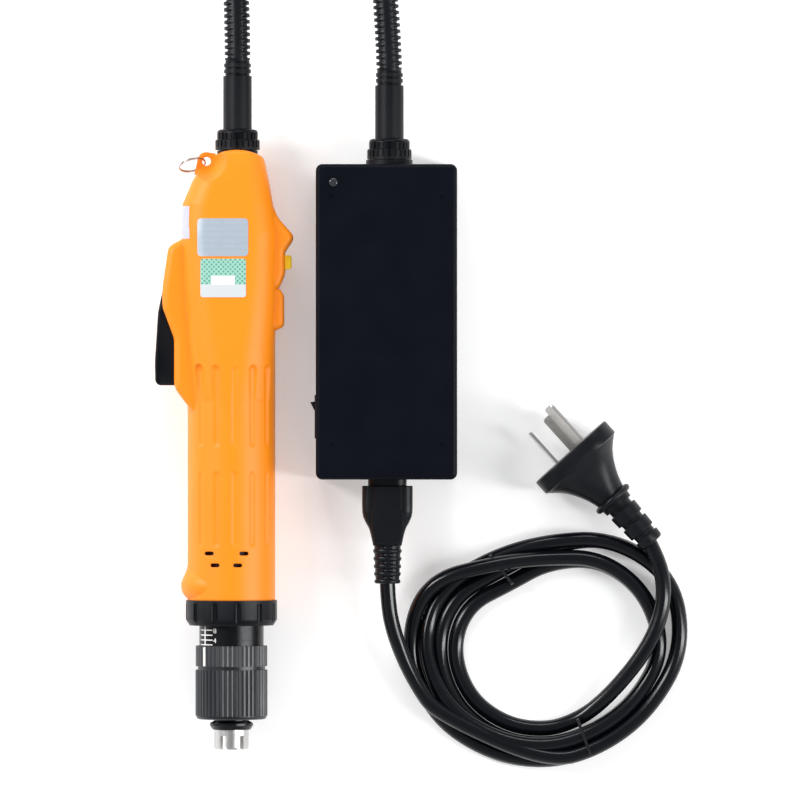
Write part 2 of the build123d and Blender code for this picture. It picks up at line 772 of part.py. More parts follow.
# Clutch: pressure ring, balls and cam disc
with BuildPart() as pressure_ring:
    with BuildSketch(across(PRESSURE_LOW)):
        Circle(BEARING_SEAT_R - 0.4 - 2 * RUN)
        Circle(SPINDLE_D / 2 + SEAT, mode=Mode.SUBTRACT)
    extrude(amount=PRESSURE_RING_L)
    with Locations(across(BALL_Y)):
        with PolarLocations(CLUTCH_PITCH_R, CLUTCH_BALLS):
            Sphere(CLUTCH_BALL_D / 2 + SEAT, mode=Mode.SUBTRACT)
write(pressure_ring, "pressure_ring")

with BuildPart() as cam_disc:
    with BuildSketch(across(CAM_LOW)):
        Circle(BEARING_SEAT_R - 0.4 - 2 * RUN)
        Circle(SPINDLE_D / 2 + SEAT, mode=Mode.SUBTRACT)
    extrude(amount=CAM_L)
    with Locations(across(BALL_Y)):
        with PolarLocations(CLUTCH_PITCH_R, CLUTCH_BALLS):
            Sphere(CLUTCH_BALL_D / 2 + SEAT, mode=Mode.SUBTRACT)
write(cam_disc, "cam_disc")

with BuildPart() as clutch_balls:
    with Locations(across(BALL_Y)):
        with PolarLocations(CLUTCH_PITCH_R, CLUTCH_BALLS):
            Sphere(CLUTCH_BALL_D / 2)
write(clutch_balls, "clutch_balls")

spindle_bearing = turned(
    ring_points(SPINDLE_D / 2 + BEARING_PLAY, BEARING_SEAT_R - SEAT, BEARING_LOW, BEARING_TOP)
)
write(spindle_bearing, "spindle_bearing")

# Output spindle with its bit bore, lock balls, collar and toothed crown
SNAP_R = SPINDLE_D / 2 + 2.2
with BuildPart() as output_spindle:
    with BuildSketch(DRIVER_PLANE):
        Polygon(
            (0, CROWN_TOP - CROWN_DISC),
            (SPINDLE_D / 2, CROWN_TOP - CROWN_DISC),
            (SPINDLE_D / 2, SNAP_LOW),
            (SNAP_R, SNAP_LOW),
            (SNAP_R, SNAP_LOW + SNAP_L),
            (SPINDLE_D / 2, SNAP_LOW + SNAP_L),
            (SPINDLE_D / 2, CAM_LOW - SEAT),
            (0, CAM_LOW - SEAT),
            align=None,
        )
    revolve(axis=DRIVER_AXIS)
    with BuildSketch(across(CROWN_TOP - CROWN_DISC)):
        Circle(BIT_BORE / 2)
    extrude(amount=BIT_BORE_L, mode=Mode.SUBTRACT)
    with BuildSketch(Plane(origin=(DRIVER_X, HOUSING_END_Y + BALL_LOCK_Y, AXIS_Z - SPINDLE_D))):
        Circle(LOCK_BALL_D / 2 + SEAT)
    extrude(amount=2 * SPINDLE_D, mode=Mode.SUBTRACT)
write(output_spindle, "output_spindle")

BALL_OUT = SPINDLE_D / 2 - LOCK_BALL_D / 2
with BuildPart() as lock_balls:
    with Locations(across(BALL_LOCK_Y)):
        with Locations((0, BALL_OUT), (0, -BALL_OUT)):
            Sphere(LOCK_BALL_D / 2)
write(lock_balls, "lock_balls")

with BuildPart() as chuck_crown:
    with BuildSketch(DRIVER_PLANE):
        Polygon(
            (SPINDLE_D / 2 + SEAT, CROWN_TOP),
            (SPINDLE_D / 2 + SEAT, CROWN_TOP - CROWN_DISC),
            (CROWN_D / 2 - CROWN_WALL, CROWN_TOP - CROWN_DISC),
            (CROWN_D / 2 - CROWN_WALL, CROWN_END),
            (CROWN_D / 2 - 0.5, CROWN_END),
            (CROWN_D / 2, CROWN_END + 0.8),
            (CROWN_D / 2, CROWN_TOP),
            align=None,
        )
    revolve(axis=DRIVER_AXIS)
    half_gap = CROWN_GAP_ANGLE / 2
    with BuildSketch(across(CROWN_END)):
        for index in range(CROWN_TEETH):
            middle = CROWN_PHASE + (index + 0.5) * 360 / CROWN_TEETH
            Polygon(
                (0, 0),
                polar(CROWN_D, middle - half_gap),
                polar(CROWN_D, middle + half_gap),
                align=None,
            )
    extrude(amount=CROWN_L - CROWN_DISC - 0.6, mode=Mode.SUBTRACT)
write(chuck_crown, "chuck_crown")

COLLAR_BORE_R = SPINDLE_D / 2 + SEAT
COUNTERBORE_R = SNAP_R + RUN
COUNTERBORE_LOW = BALL_LOCK_Y + LOCK_BALL_D / 2 + 0.6
bit_collar = turned(
    [
        (COLLAR_BORE_R, CROWN_TOP + SEAT),
        (CROWN_D / 2 + 0.8, CROWN_TOP + SEAT),
        (BIT_COLLAR_D / 2, SLEEVE_END - BIT_COLLAR_L / 2 - 0.4),
        (BIT_COLLAR_D / 2, SLEEVE_END - BIT_COLLAR_L / 2 + 0.6),
        (COUNTERBORE_R + 0.8, SLEEVE_END - 0.6),
        (COUNTERBORE_R + 0.8, COLLAR_TOP),
        (COUNTERBORE_R, COLLAR_TOP),
        (COUNTERBORE_R, COUNTERBORE_LOW),
        (COLLAR_BORE_R, COUNTERBORE_LOW),
    ]
)
write(bit_collar, "bit_collar")

COLLAR_WIRE_D = 0.8
collar_spring = coil_spring(
    COUNTERBORE_LOW,
    SNAP_LOW,
    SPINDLE_D / 2 + RUN + COLLAR_WIRE_D,
    COLLAR_WIRE_D,
    4,
)
write(collar_spring, "collar_spring")

# Planetary gears: sun on the motor shaft, planets on the carrier, ring in the housing
RING_TEETH = SUN_TEETH + 2 * PLANET_TEETH
SUN_PITCH_R = GEAR_MODULE * SUN_TEETH / 2
PLANET_PITCH_R = GEAR_MODULE * PLANET_TEETH / 2
RING_PITCH_R = GEAR_MODULE * RING_TEETH / 2
CARRIER_R = SUN_PITCH_R + PLANET_PITCH_R
ADDENDUM = 0.84 * GEAR_MODULE
DEDENDUM = 1.1 * GEAR_MODULE

with BuildPart() as ring_gear:
    with BuildSketch(across(SPIGOT_END)):
        Circle(RING_D / 2)
        Polygon(
            *gear_points(RING_TEETH, RING_PITCH_R + DEDENDUM, RING_PITCH_R - ADDENDUM, 0),
            align=None,
            mode=Mode.SUBTRACT,
        )
    extrude(amount=RING_L)
write(ring_gear, "ring_gear")

for index in range(PLANETS):
    angle = index * 360 / PLANETS
    centre = (
        CARRIER_R * math.cos(math.radians(angle)),
        CARRIER_R * math.sin(math.radians(angle)),
    )
    first = angle + 180 + 180 / PLANET_TEETH
    with BuildPart() as planet:
        with BuildSketch(across(PLANET_LOW)):
            with Locations(centre):
                Polygon(
                    *gear_points(
                        PLANET_TEETH,
                        PLANET_PITCH_R - DEDENDUM,
                        PLANET_PITCH_R + ADDENDUM,
                        first,
                    ),
                    align=None,
                )
                Circle(PLANET_PIN_D / 2 + BEARING_PLAY, mode=Mode.SUBTRACT)
        extrude(amount=GEAR_L)
    write(planet, f"planet_gear_{index + 1}")

with BuildPart() as planet_carrier:
    with BuildSketch(across(CARRIER_LOW)):
        Circle(CARRIER_D / 2)
    extrude(amount=CARRIER_L)
    with BuildSketch(across(CARRIER_TOP)):
        with PolarLocations(CARRIER_R, PLANETS):
            Circle(PLANET_PIN_D / 2)
    extrude(amount=GEAR_L + 2 * GEAR_GAP)
    with BuildSketch(across(CAM_LOW)):
        Circle(SPINDLE_D / 2)
    extrude(amount=CARRIER_LOW - CAM_LOW)
write(planet_carrier, "planet_carrier")

# Motor
with BuildPart() as motor_shaft:
    with BuildSketch(across(PLANET_LOW)):
        Polygon(
            *gear_points(SUN_TEETH, SUN_PITCH_R - DEDENDUM, SUN_PITCH_R + ADDENDUM, 0),
            align=None,
        )
    extrude(amount=GEAR_L)
    with BuildSketch(across(PLANET_LOW + GEAR_L)):
        Circle(SHAFT_D / 2)
    extrude(amount=CAN_TOP - CAN_END - PLANET_LOW - GEAR_L)
write(motor_shaft, "motor_shaft")

motor_end_bell = turned(
    ring_points(SHAFT_BEARING_D / 2 + SEAT, MOTOR_D / 2, BELL_LOW, CAN_LOW)
)
write(motor_end_bell, "motor_end_bell")

motor_can = turned(
    [
        (MOTOR_D / 2 - CAN_WALL, CAN_LOW),
        (MOTOR_D / 2, CAN_LOW),
        (MOTOR_D / 2, CAN_TOP - 1.5),
        (MOTOR_D / 2 - 1.5, CAN_TOP),
        (0, CAN_TOP),
        (0, CAN_TOP - CAN_END + RUN),
        (SHAFT_BEARING_D / 2 + SEAT, CAN_TOP - CAN_END + RUN),
        (SHAFT_BEARING_D / 2 + SEAT, CAN_TOP - CAN_END - 4),
        (MOTOR_D / 2 - CAN_WALL, CAN_TOP - CAN_END - 4),
    ]
)
write(motor_can, "motor_can")

with BuildPart() as motor_bearings:
    for low_end in (BELL_LOW, CAN_TOP - CAN_END - 4):
        with BuildSketch(across(low_end)):
            Circle(SHAFT_BEARING_D / 2)
            Circle(SHAFT_D / 2 + BEARING_PLAY, mode=Mode.SUBTRACT)
        extrude(amount=BELL_L)
write(motor_bearings, "motor_bearings")

rotor_core = turned(
    ring_points(SHAFT_D / 2 + BEARING_PLAY, ROTOR_D / 2, CAN_LOW + 3, CAN_LOW + 3 + ROTOR_L)
)
write(rotor_core, "rotor_core")

# Trigger lever on its pin, and the switch that it presses
with BuildPart() as trigger_lever:
    with BuildSketch(Plane(origin=(DRIVER_X, HOUSING_END_Y, AXIS_Z - LEVER_W / 2))):
        with BuildLine():
            edge = FilletPolyline(
                (-24.2, LEVER_TOP),
                (-30.6, LEVER_TOP),
                (-32.9, 129.5),
                (-34.3, 107.0),
                (-34.1, LEVER_END),
                (-24.0, LEVER_END),
                radius=(1.2, 30, 60, 2.6),
            )
            Line(edge @ 1, edge @ 0)
        make_face()
    extrude(amount=LEVER_W)
    fillet(
        trigger_lever.edges().filter_by(Plane.XY).group_by(Axis.Z)[-1].sort_by(Axis.X)[:5],
        1.2,
    )
    fillet(
        trigger_lever.edges().filter_by(Plane.XY).group_by(Axis.Z)[0].sort_by(Axis.X)[:5],
        1.2,
    )
    with BuildSketch(Plane(origin=(DRIVER_X, HOUSING_END_Y, AXIS_Z - LEVER_W))):
        with Locations(LEVER_PIVOT):
            Circle(LEVER_PIN_D / 2 + SEAT)
    extrude(amount=2 * LEVER_W, mode=Mode.SUBTRACT)
write(trigger_lever, "trigger_lever")

PIN_HALF = RIDGE_W / 2 - 1.7
with BuildPart() as lever_pin:
    with BuildSketch(Plane(origin=(DRIVER_X, HOUSING_END_Y, AXIS_Z - PIN_HALF))):
        with Locations(LEVER_PIVOT):
            Circle(LEVER_PIN_D / 2)
    extrude(amount=2 * PIN_HALF)
write(lever_pin, "lever_pin")

with BuildPart() as trigger_switch:
    with BuildSketch(Plane(origin=(DRIVER_X, HOUSING_END_Y, AXIS_Z - TRIGGER_W / 2))):
        with Locations((TRIGGER_X + TRIGGER_T / 2, TRIGGER_LOW + TRIGGER_L / 2)):
            Rectangle(TRIGGER_T, TRIGGER_L)
    extrude(amount=TRIGGER_W)
    plunger_plane = Plane(
        origin=(DRIVER_X + TRIGGER_X, HOUSING_END_Y + TRIGGER_LOW + TRIGGER_L - 5, AXIS_Z),
        x_dir=(0, 1, 0),
        z_dir=(-1, 0, 0),
    )
    with BuildSketch(plunger_plane):
        Circle(PLUNGER_D / 2)
    extrude(amount=4.6)
write(trigger_switch, "trigger_switch")

# Reversing switch: sliding button and the switch behind it
with BuildPart() as direction_button:
    with BuildSketch(Plane(origin=(DRIVER_X, HOUSING_END_Y, AXIS_Z - BUTTON_W / 2))):
        with Locations(((BUTTON_ROOT + BUTTON_TIP) / 2, BUTTON_LOW + BUTTON_L / 2)):
            Rectangle(BUTTON_TIP - BUTTON_ROOT, BUTTON_L)
    extrude(amount=BUTTON_W)
    fillet(direction_button.faces().sort_by(Axis.X)[-1].edges(), 1.4)
write(direction_button, "direction_button")

with BuildPart() as reversing_switch:
    with BuildSketch(Plane(origin=(DRIVER_X, HOUSING_END_Y, AXIS_Z - REVERSER_W / 2))):
        with Locations((REVERSER_X + REVERSER_T / 2, BUTTON_LOW + REVERSER_L / 2 - 3.5)):
            Rectangle(REVERSER_T, REVERSER_L)
    extrude(amount=REVERSER_W)
write(reversing_switch, "reversing_switch")

# Driver's control board on its posts
with BuildPart() as control_board:
    board_middle = BOARD_LOW + BOARD_L / 2
    with BuildSketch(Plane(origin=(DRIVER_X, HOUSING_END_Y, BOARD_Z))):
        with Locations((0, board_middle)):
            Rectangle(BOARD_W, BOARD_L)
    extrude(amount=BOARD_T)
    with BuildSketch(Plane(origin=(DRIVER_X, HOUSING_END_Y, BOARD_Z + BOARD_T))):
        with Locations((0, board_middle - 10)):
            Rectangle(9, 9)
        with Locations((0, board_middle + 6)):
            Rectangle(14, 6)
    extrude(amount=2)
    with BuildSketch(Plane(origin=(DRIVER_X, HOUSING_END_Y, BOARD_Z + BOARD_T))):
        with Locations((-4, board_middle - 26), (4, board_middle - 26)):
            Circle(3.2)
    extrude(amount=8)
write(control_board, "control_board")

# Hang ring through the ear
ring_dir = Vector(math.cos(math.radians(RING_TURN)), math.sin(math.radians(RING_TURN)), 0)
side_dir = Vector(ring_dir.Y, -ring_dir.X, 0)
tilt = math.radians(RING_TILT)
ring_up = side_dir * math.cos(tilt) + Vector(0, 0, 1) * math.sin(tilt)
ear_point = Vector(DRIVER_X + EAR_X, HOUSING_END_Y + EAR_HEIGHT, AXIS_Z)
ring_plane = Plane(
    origin=ear_point + ring_dir * HANG_RING_R,
    x_dir=ring_dir,
    z_dir=ring_dir.cross(ring_up),
)
with BuildPart() as hang_ring:
    with Locations(ring_plane):
        Torus(HANG_RING_R, RING_WIRE_D / 2)
write(hang_ring, "hang_ring")


# Low-voltage socket, plug, coupling ring and boot at each end of the driver cord
def socket(x, top_y, axis_z, boss_d, boss_l, name):
    """A socket let into a wall, with the neck that the coupling ring turns on."""
    low = Plane(origin=(x, top_y - SOCKET_L, axis_z), x_dir=(1, 0, 0), z_dir=(0, 1, 0))
    with BuildPart() as piece:
        with BuildSketch(low):
            Circle(SOCKET_D / 2)
        extrude(amount=SOCKET_L)
        with BuildSketch(low.offset(SOCKET_L)):
            Circle(boss_d / 2)
        extrude(amount=boss_l)
        with BuildSketch(low.offset(SOCKET_L + boss_l)):
            Circle(SOCKET_NECK_D / 2)
        extrude(amount=SOCKET_NECK_L)
        with BuildSketch(low.offset(2)):
            Circle(PLUG_D / 2 + SEAT)
        extrude(amount=SOCKET_L + boss_l + SOCKET_NECK_L, mode=Mode.SUBTRACT)
    write(piece, name)


def cord_plug(x, ring_y, axis_z, name):
    """Nose inside the socket, plain sleeve, and the ribbed neck behind it."""
    ring_low = Plane(origin=(x, ring_y, axis_z), x_dir=(1, 0, 0), z_dir=(0, 1, 0))
    sleeve_top = BIG_STEP_L + SMALL_STEP_L + PLUG_SLEEVE_L
    with BuildPart() as piece:
        with BuildSketch(ring_low.offset(-PLUG_NOSE_L)):
            Circle(PLUG_D / 2)
        extrude(amount=PLUG_NOSE_L + sleeve_top)
        with BuildSketch(ring_low.offset(sleeve_top)):
            Circle(NECK_D / 2)
        extrude(amount=NECK_L)
        for rib in (0.2, 0.6):
            with BuildSketch(ring_low.offset(sleeve_top + rib * NECK_L)):
                Circle(NECK_RIB_D / 2)
            extrude(amount=0.25 * NECK_L)
        with BuildSketch(Plane(origin=(x, ring_y, axis_z + PLUG_D / 2 - 0.8))):
            with GridLocations(10.4, 10.7, 2, 2):
                with Locations((0, BIG_STEP_L + SMALL_STEP_L + PLUG_SLEEVE_L / 2)):
                    Circle(0.6)
        extrude(amount=2, mode=Mode.SUBTRACT)
    write(piece, name)


def coupling_ring(x, ring_y, axis_z, name):
    """Two-step ring with rounded shoulders and ribs along both steps."""
    ring_low = Plane(origin=(x, ring_y, axis_z), x_dir=(1, 0, 0), z_dir=(0, 1, 0))
    with BuildPart() as piece:
        with BuildSketch(ring_low):
            Circle(BIG_STEP_D / 2)
        extrude(amount=BIG_STEP_L)
        fillet(piece.faces().sort_by(Axis.Y)[-1].edges(), STEP_ROUND / 2)
        with BuildSketch(ring_low.offset(BIG_STEP_L)):
            Circle(SMALL_STEP_D / 2)
        extrude(amount=SMALL_STEP_L)
        fillet(piece.faces().sort_by(Axis.Y)[-1].edges(), STEP_ROUND)
        for step_d, low_end, high_end in (
            (BIG_STEP_D, RIB_BAND_L, BIG_STEP_L),
            (SMALL_STEP_D, BIG_STEP_L, BIG_STEP_L + SMALL_STEP_L - STEP_ROUND),
        ):
            with BuildSketch(ring_low.offset(low_end)):
                with PolarLocations(step_d / 2, STEP_RIBS):
                    Rectangle(2 * STEP_RIB_DEPTH, STEP_RIB_GAP)
            extrude(amount=high_end - low_end, mode=Mode.SUBTRACT)
        with BuildSketch(ring_low):
            Circle(SOCKET_NECK_D / 2 + RUN)
        extrude(amount=SOCKET_NECK_L + RUN, mode=Mode.SUBTRACT)
        with BuildSketch(ring_low):
            Circle(PLUG_D / 2 + RUN)
        extrude(amount=BIG_STEP_L + SMALL_STEP_L, mode=Mode.SUBTRACT)
    write(piece, name)


def bend_radii(points):
    """The largest arc that each corner of a route has room for."""
    radii = []
    for before, here, after in zip(points, points[1:], points[2:]):
        first = Vector(*here) - Vector(*before)
        second = Vector(*after) - Vector(*here)
        turn = math.radians(first.get_angle(second))
        radii.append(0.45 * min(first.length, second.length) / math.tan(turn / 2))
    return radii


def cord_route(points, diameter, label):
    """A tube along straight runs joined by tangent arcs."""
    radii = bend_radii(points)
    print(label, "bend radii", [round(radius, 1) for radius in radii])
    with BuildPart() as tube:
        with BuildLine() as path:
            FilletPolyline(*points, radius=radii)
        with BuildSketch(Plane(origin=path.line @ 0, z_dir=path.line % 0)):
            Circle(diameter / 2)
        sweep(path=path.line)
    length = sum(edge.length for edge in path.edges())
    volume = math.pi * diameter**2 / 4 * length
    print(label, "length", round(length, 1), "volume ratio", round(tube.part.volume / volume, 4))
    return tube.part


PLUG_BACK = BIG_STEP_L + SMALL_STEP_L + PLUG_SLEEVE_L + NECK_L
DRIVER_RING_Y = HOUSING_TOP_Y + RUN
SUPPLY_RING_Y = CASE_TOP_Y + SUPPLY_BOSS_L + RUN
DRIVER_SOCKET_X = DRIVER_X + SOCKET_X

socket(DRIVER_SOCKET_X, HOUSING_TOP_Y, AXIS_Z, SOCKET_NECK_D, 0.2, "driver_socket")
socket(SUPPLY_SOCKET_X, CASE_TOP_Y, CASE_Z, SUPPLY_BOSS_D, SUPPLY_BOSS_L, "supply_socket")
cord_plug(DRIVER_SOCKET_X, DRIVER_RING_Y, AXIS_Z, "driver_plug")
cord_plug(SUPPLY_SOCKET_X, SUPPLY_RING_Y, CASE_Z, "supply_plug")
coupling_ring(DRIVER_SOCKET_X, DRIVER_RING_Y, AXIS_Z, "driver_coupling_ring")
coupling_ring(SUPPLY_SOCKET_X, SUPPLY_RING_Y, CASE_Z, "supply_coupling_ring")

# Routes of the driver cord, from each boot to the put-away coil
DRIVER_BOOT_PATH = [
    (DRIVER_SOCKET_X, DRIVER_RING_Y + PLUG_BACK, AXIS_Z),
    (-31.0, 196.0, 20.4),
    (-32.6, 219.0, 17.2),
]
SUPPLY_BOOT_PATH = [
    (SUPPLY_SOCKET_X, SUPPLY_RING_Y + PLUG_BACK, CASE_Z),
    (36.6, 192.0, 19.0),
    (34.2, 217.0, 18.6),
]
DRIVER_SIDE_ROUTE = [
    (-32.6, 219.0, 17.2),
    (-35.6, 234.0, 13.2),
    (-42.4, 249.0, 7.2),
    (-45.2, 264.0, 3.9),
]
SUPPLY_SIDE_ROUTE = [
    (34.2, 217.0, 18.6),
    (35.6, 231.0, 17.0),
    (43.4, 246.5, 13.2),
    (48.2, 261.0, 10.8),
]

with BuildPart() as driver_boot:
    add(cord_route(DRIVER_BOOT_PATH, BOOT_D, "driver boot"))
write(driver_boot, "driver_boot")

with BuildPart() as supply_boot:
    add(cord_route(SUPPLY_BOOT_PATH, BOOT_D, "supply boot"))
write(supply_boot, "supply_boot")

with BuildPart() as driver_cord:
    add(cord_route(DRIVER_SIDE_ROUTE, CORD_D, "driver cord, driver side"))
    add(cord_route(SUPPLY_SIDE_ROUTE, CORD_D, "driver cord, supply side"))
write(driver_cord, "driver_cord")

STORE_HALF = STORE_COLUMNS * STORE_PITCH / 2
with BuildPart() as cord_coil:
    with BuildSketch(Plane(origin=(STORE_X, STORE_Y, 0))):
        Circle(STORE_R + STORE_HALF)
        Circle(STORE_R - STORE_HALF, mode=Mode.SUBTRACT)
    extrude(amount=STORE_LAYERS * STORE_PITCH)
    fillet(cord_coil.faces().sort_by(Axis.Z)[-1].edges(), CORD_D / 2)
write(cord_coil, "cord_coil")

# Power supply case, two shells that meet at the seam
CASE_MIDDLE_Y = CASE_END_Y + CASE_L / 2
CASE_SCREWS = [
    (x, y)
    for x in (-CASE_BOSS_X, CASE_BOSS_X)
    for y in (CASE_BOSS_LOW, CASE_L - CASE_BOSS_FROM_TOP)
]
CASE_PLANE = Plane(origin=(CASE_X, CASE_END_Y, 0))
ROCKER_Y = CASE_END_Y + ROCKER_FROM_END
FRAME_L = ROCKER_L + 2 * FRAME_WALL + 1.0
FRAME_W = ROCKER_W + 2 * FRAME_WALL + 2 * RUN
INLET_W = NOSE_W + 2 * RUN + 2 * INLET_WALL
INLET_H = NOSE_H + 2 * RUN + 2 * INLET_WALL
INLET_L = NOSE_INSIDE + RUN + INLET_FLOOR
BOARD_BOSSES = [
    (x, SUPPLY_BOARD_FROM_END + y)
    for x in (-14, 14)
    for y in (BOARD_POST_IN, SUPPLY_BOARD_L - BOARD_POST_IN)
]

with BuildPart() as supply_case:
    with BuildSketch(Plane.XY):
        with Locations((CASE_X, CASE_MIDDLE_Y)):
            RectangleRounded(CASE_W, CASE_L, CASE_CORNER)
    extrude(amount=CASE_H)
    fillet(supply_case.faces().sort_by(Axis.Z)[-1].edges(), CASE_ROUND)
    fillet(supply_case.faces().sort_by(Axis.Z)[0].edges(), CASE_ROUND)
    with BuildPart(mode=Mode.PRIVATE) as case_cavity:
        with BuildSketch(Plane.XY.offset(CASE_WALL)):
            with Locations((CASE_X, CASE_MIDDLE_Y)):
                Rectangle(CASE_W - 2 * CASE_WALL, CASE_L - 2 * CASE_WALL)
        extrude(amount=CASE_H - 2 * CASE_WALL)
        with BuildSketch(CASE_PLANE):
            with Locations(*CASE_SCREWS):
                Circle(CASE_BOSS_D / 2)
        extrude(amount=CASE_H, mode=Mode.SUBTRACT)
        with BuildSketch(CASE_PLANE):
            with Locations(*BOARD_BOSSES):
                Circle(2.4)
        extrude(amount=SUPPLY_BOARD_Z, mode=Mode.SUBTRACT)
    add(case_cavity.part, mode=Mode.SUBTRACT)
    socket_wall = Plane(
        origin=(SUPPLY_SOCKET_X, CASE_TOP_Y - 2 * CASE_WALL, CASE_Z),
        x_dir=(1, 0, 0),
        z_dir=(0, 1, 0),
    )
    with BuildSketch(socket_wall):
        Circle(SOCKET_D / 2 + SEAT)
    extrude(amount=3 * CASE_WALL, mode=Mode.SUBTRACT)
    inlet_wall = Plane(
        origin=(INLET_X, CASE_END_Y - CASE_WALL, CASE_Z), x_dir=(1, 0, 0), z_dir=(0, 1, 0)
    )
    with BuildSketch(inlet_wall):
        Rectangle(INLET_W + 2 * SEAT, INLET_H + 2 * SEAT)
    extrude(amount=3 * CASE_WALL, mode=Mode.SUBTRACT)
    rocker_wall = Plane(
        origin=(CASE_LEFT - CASE_WALL, ROCKER_Y, CASE_Z), x_dir=(0, 1, 0), z_dir=(1, 0, 0)
    )
    with BuildSketch(rocker_wall):
        Rectangle(FRAME_L + 2 * SEAT, FRAME_W + 2 * SEAT)
    extrude(amount=3 * CASE_WALL, mode=Mode.SUBTRACT)
    with BuildSketch(CASE_PLANE.offset(CASE_H - 2 * CASE_WALL)):
        with Locations((LENS_X, CASE_L - LENS_FROM_TOP)):
            Circle(LENS_D / 2 + SEAT)
    extrude(amount=3 * CASE_WALL, mode=Mode.SUBTRACT)
    with BuildSketch(CASE_PLANE.offset(CASE_H - MARK_DEPTH)):
        with Locations(*CASE_SCREWS):
            Circle(MARK_D / 2)
    extrude(amount=CASE_WALL, mode=Mode.SUBTRACT)

CASE_SINK = 3.0
CASE_SHANK_TOP = SEAM_Z + SCREW_REACH
with BuildPart() as supply_top_case:
    add(supply_case.part)
    split(bisect_by=Plane.XY.offset(SEAM_Z), keep=Keep.TOP)
    with BuildSketch(CASE_PLANE.offset(SEAM_Z)):
        with Locations(*CASE_SCREWS):
            Circle(SCREW_D / 2 + SEAT)
    extrude(amount=SCREW_REACH + SEAT, mode=Mode.SUBTRACT)
write(supply_top_case, "supply_top_case")

with BuildPart() as supply_base_case:
    add(supply_case.part)
    split(bisect_by=Plane.XY.offset(SEAM_Z), keep=Keep.BOTTOM)
    with BuildSketch(CASE_PLANE):
        with Locations(*CASE_SCREWS):
            Circle(SCREW_D / 2 + SEAT)
    extrude(amount=SEAM_Z, mode=Mode.SUBTRACT)
    with BuildSketch(CASE_PLANE):
        with Locations(*CASE_SCREWS):
            Circle(SCREW_HEAD_D / 2 + RUN)
    extrude(amount=CASE_SINK + SCREW_HEAD_L, mode=Mode.SUBTRACT)
write(supply_base_case, "supply_base_case")

supply_screws = screw_group(CASE_PLANE, CASE_SCREWS, CASE_SINK, CASE_SHANK_TOP)
write(supply_screws, "supply_screws")

with BuildPart() as indicator_lens:
    with BuildSketch(CASE_PLANE.offset(CASE_H - CASE_WALL - 1)):
        with Locations((LENS_X, CASE_L - LENS_FROM_TOP)):
            Circle(LENS_D / 2)
    extrude(amount=CASE_WALL + 1.4)
    fillet(indicator_lens.faces().sort_by(Axis.Z)[-1].edges(), 0.8)
    with BuildSketch(CASE_PLANE.offset(CASE_H - CASE_WALL - 1)):
        with Locations((LENS_X, CASE_L - LENS_FROM_TOP)):
            Circle(LENS_D / 2 + 0.8)
    extrude(amount=1)
write(indicator_lens, "indicator_lens")

# Power switch in the case's side: a frame and a V-shaped rocker
ROCKER_X = CASE_LEFT + 0.6
with BuildPart() as rocker_frame:
    frame_face = Plane(
        origin=(CASE_LEFT - FRAME_PROUD, ROCKER_Y, CASE_Z), x_dir=(0, 1, 0), z_dir=(1, 0, 0)
    )
    with BuildSketch(frame_face):
        Rectangle(FRAME_L + 2 * FRAME_LIP, FRAME_W + 2 * FRAME_LIP)
    extrude(amount=FRAME_PROUD)
    with BuildSketch(frame_face):
        Rectangle(FRAME_L, FRAME_W)
    extrude(amount=FRAME_PROUD + FRAME_DEPTH)
    with BuildSketch(frame_face):
        Rectangle(FRAME_L - 2 * FRAME_WALL, FRAME_W - 2 * FRAME_WALL)
    extrude(amount=FRAME_PROUD + FRAME_DEPTH - FRAME_WALL, mode=Mode.SUBTRACT)
    with BuildSketch(Plane(origin=(ROCKER_X, ROCKER_Y, CASE_Z - FRAME_W / 2 - 1))):
        Circle(ROCKER_PIVOT_D / 2 + SEAT)
    extrude(amount=FRAME_W + 2, mode=Mode.SUBTRACT)
write(rocker_frame, "rocker_frame")

with BuildPart() as power_rocker:
    tip = ROCKER_L / 2
    rise = tip * math.tan(math.radians(ROCKER_TILT))
    rocker_plane = Plane(origin=(ROCKER_X, ROCKER_Y, CASE_Z - ROCKER_W / 2)).rotated(
        (0, 0, ROCKER_TILT)
    )
    with BuildSketch(rocker_plane):
        Polygon(
            (-rise, tip),
            (0, 0),
            (-rise, -tip),
            (1.6, 0.3 - tip),
            (5.0, -2.0),
            (5.0, 2.0),
            (1.6, tip - 0.3),
            align=None,
        )
    extrude(amount=ROCKER_W)
    with BuildSketch(rocker_plane.offset(-FRAME_WALL + SEAT)):
        Circle(ROCKER_PIVOT_D / 2)
    extrude(amount=ROCKER_W + 2 * FRAME_WALL - 2 * SEAT)
write(power_rocker, "power_rocker")

# Mains inlet cup with three pins
inlet_plane = Plane(origin=(INLET_X, CASE_END_Y, CASE_Z), x_dir=(1, 0, 0), z_dir=(0, -1, 0))
with BuildPart() as mains_inlet:
    with BuildSketch(inlet_plane.offset(-INLET_L)):
        Rectangle(INLET_W, INLET_H)
    extrude(amount=INLET_L)
    with BuildSketch(inlet_plane.offset(-NOSE_INSIDE - RUN)):
        RectangleRounded(NOSE_W + 2 * RUN, NOSE_H + 2 * RUN, NOSE_CORNER + RUN)
    extrude(amount=NOSE_INSIDE + RUN, mode=Mode.SUBTRACT)
    with BuildSketch(inlet_plane.offset(-NOSE_INSIDE - RUN)):
        with Locations(*INLET_PINS):
            Circle(INLET_PIN_D / 2)
    extrude(amount=INLET_PIN_L)
write(mains_inlet, "mains_inlet")

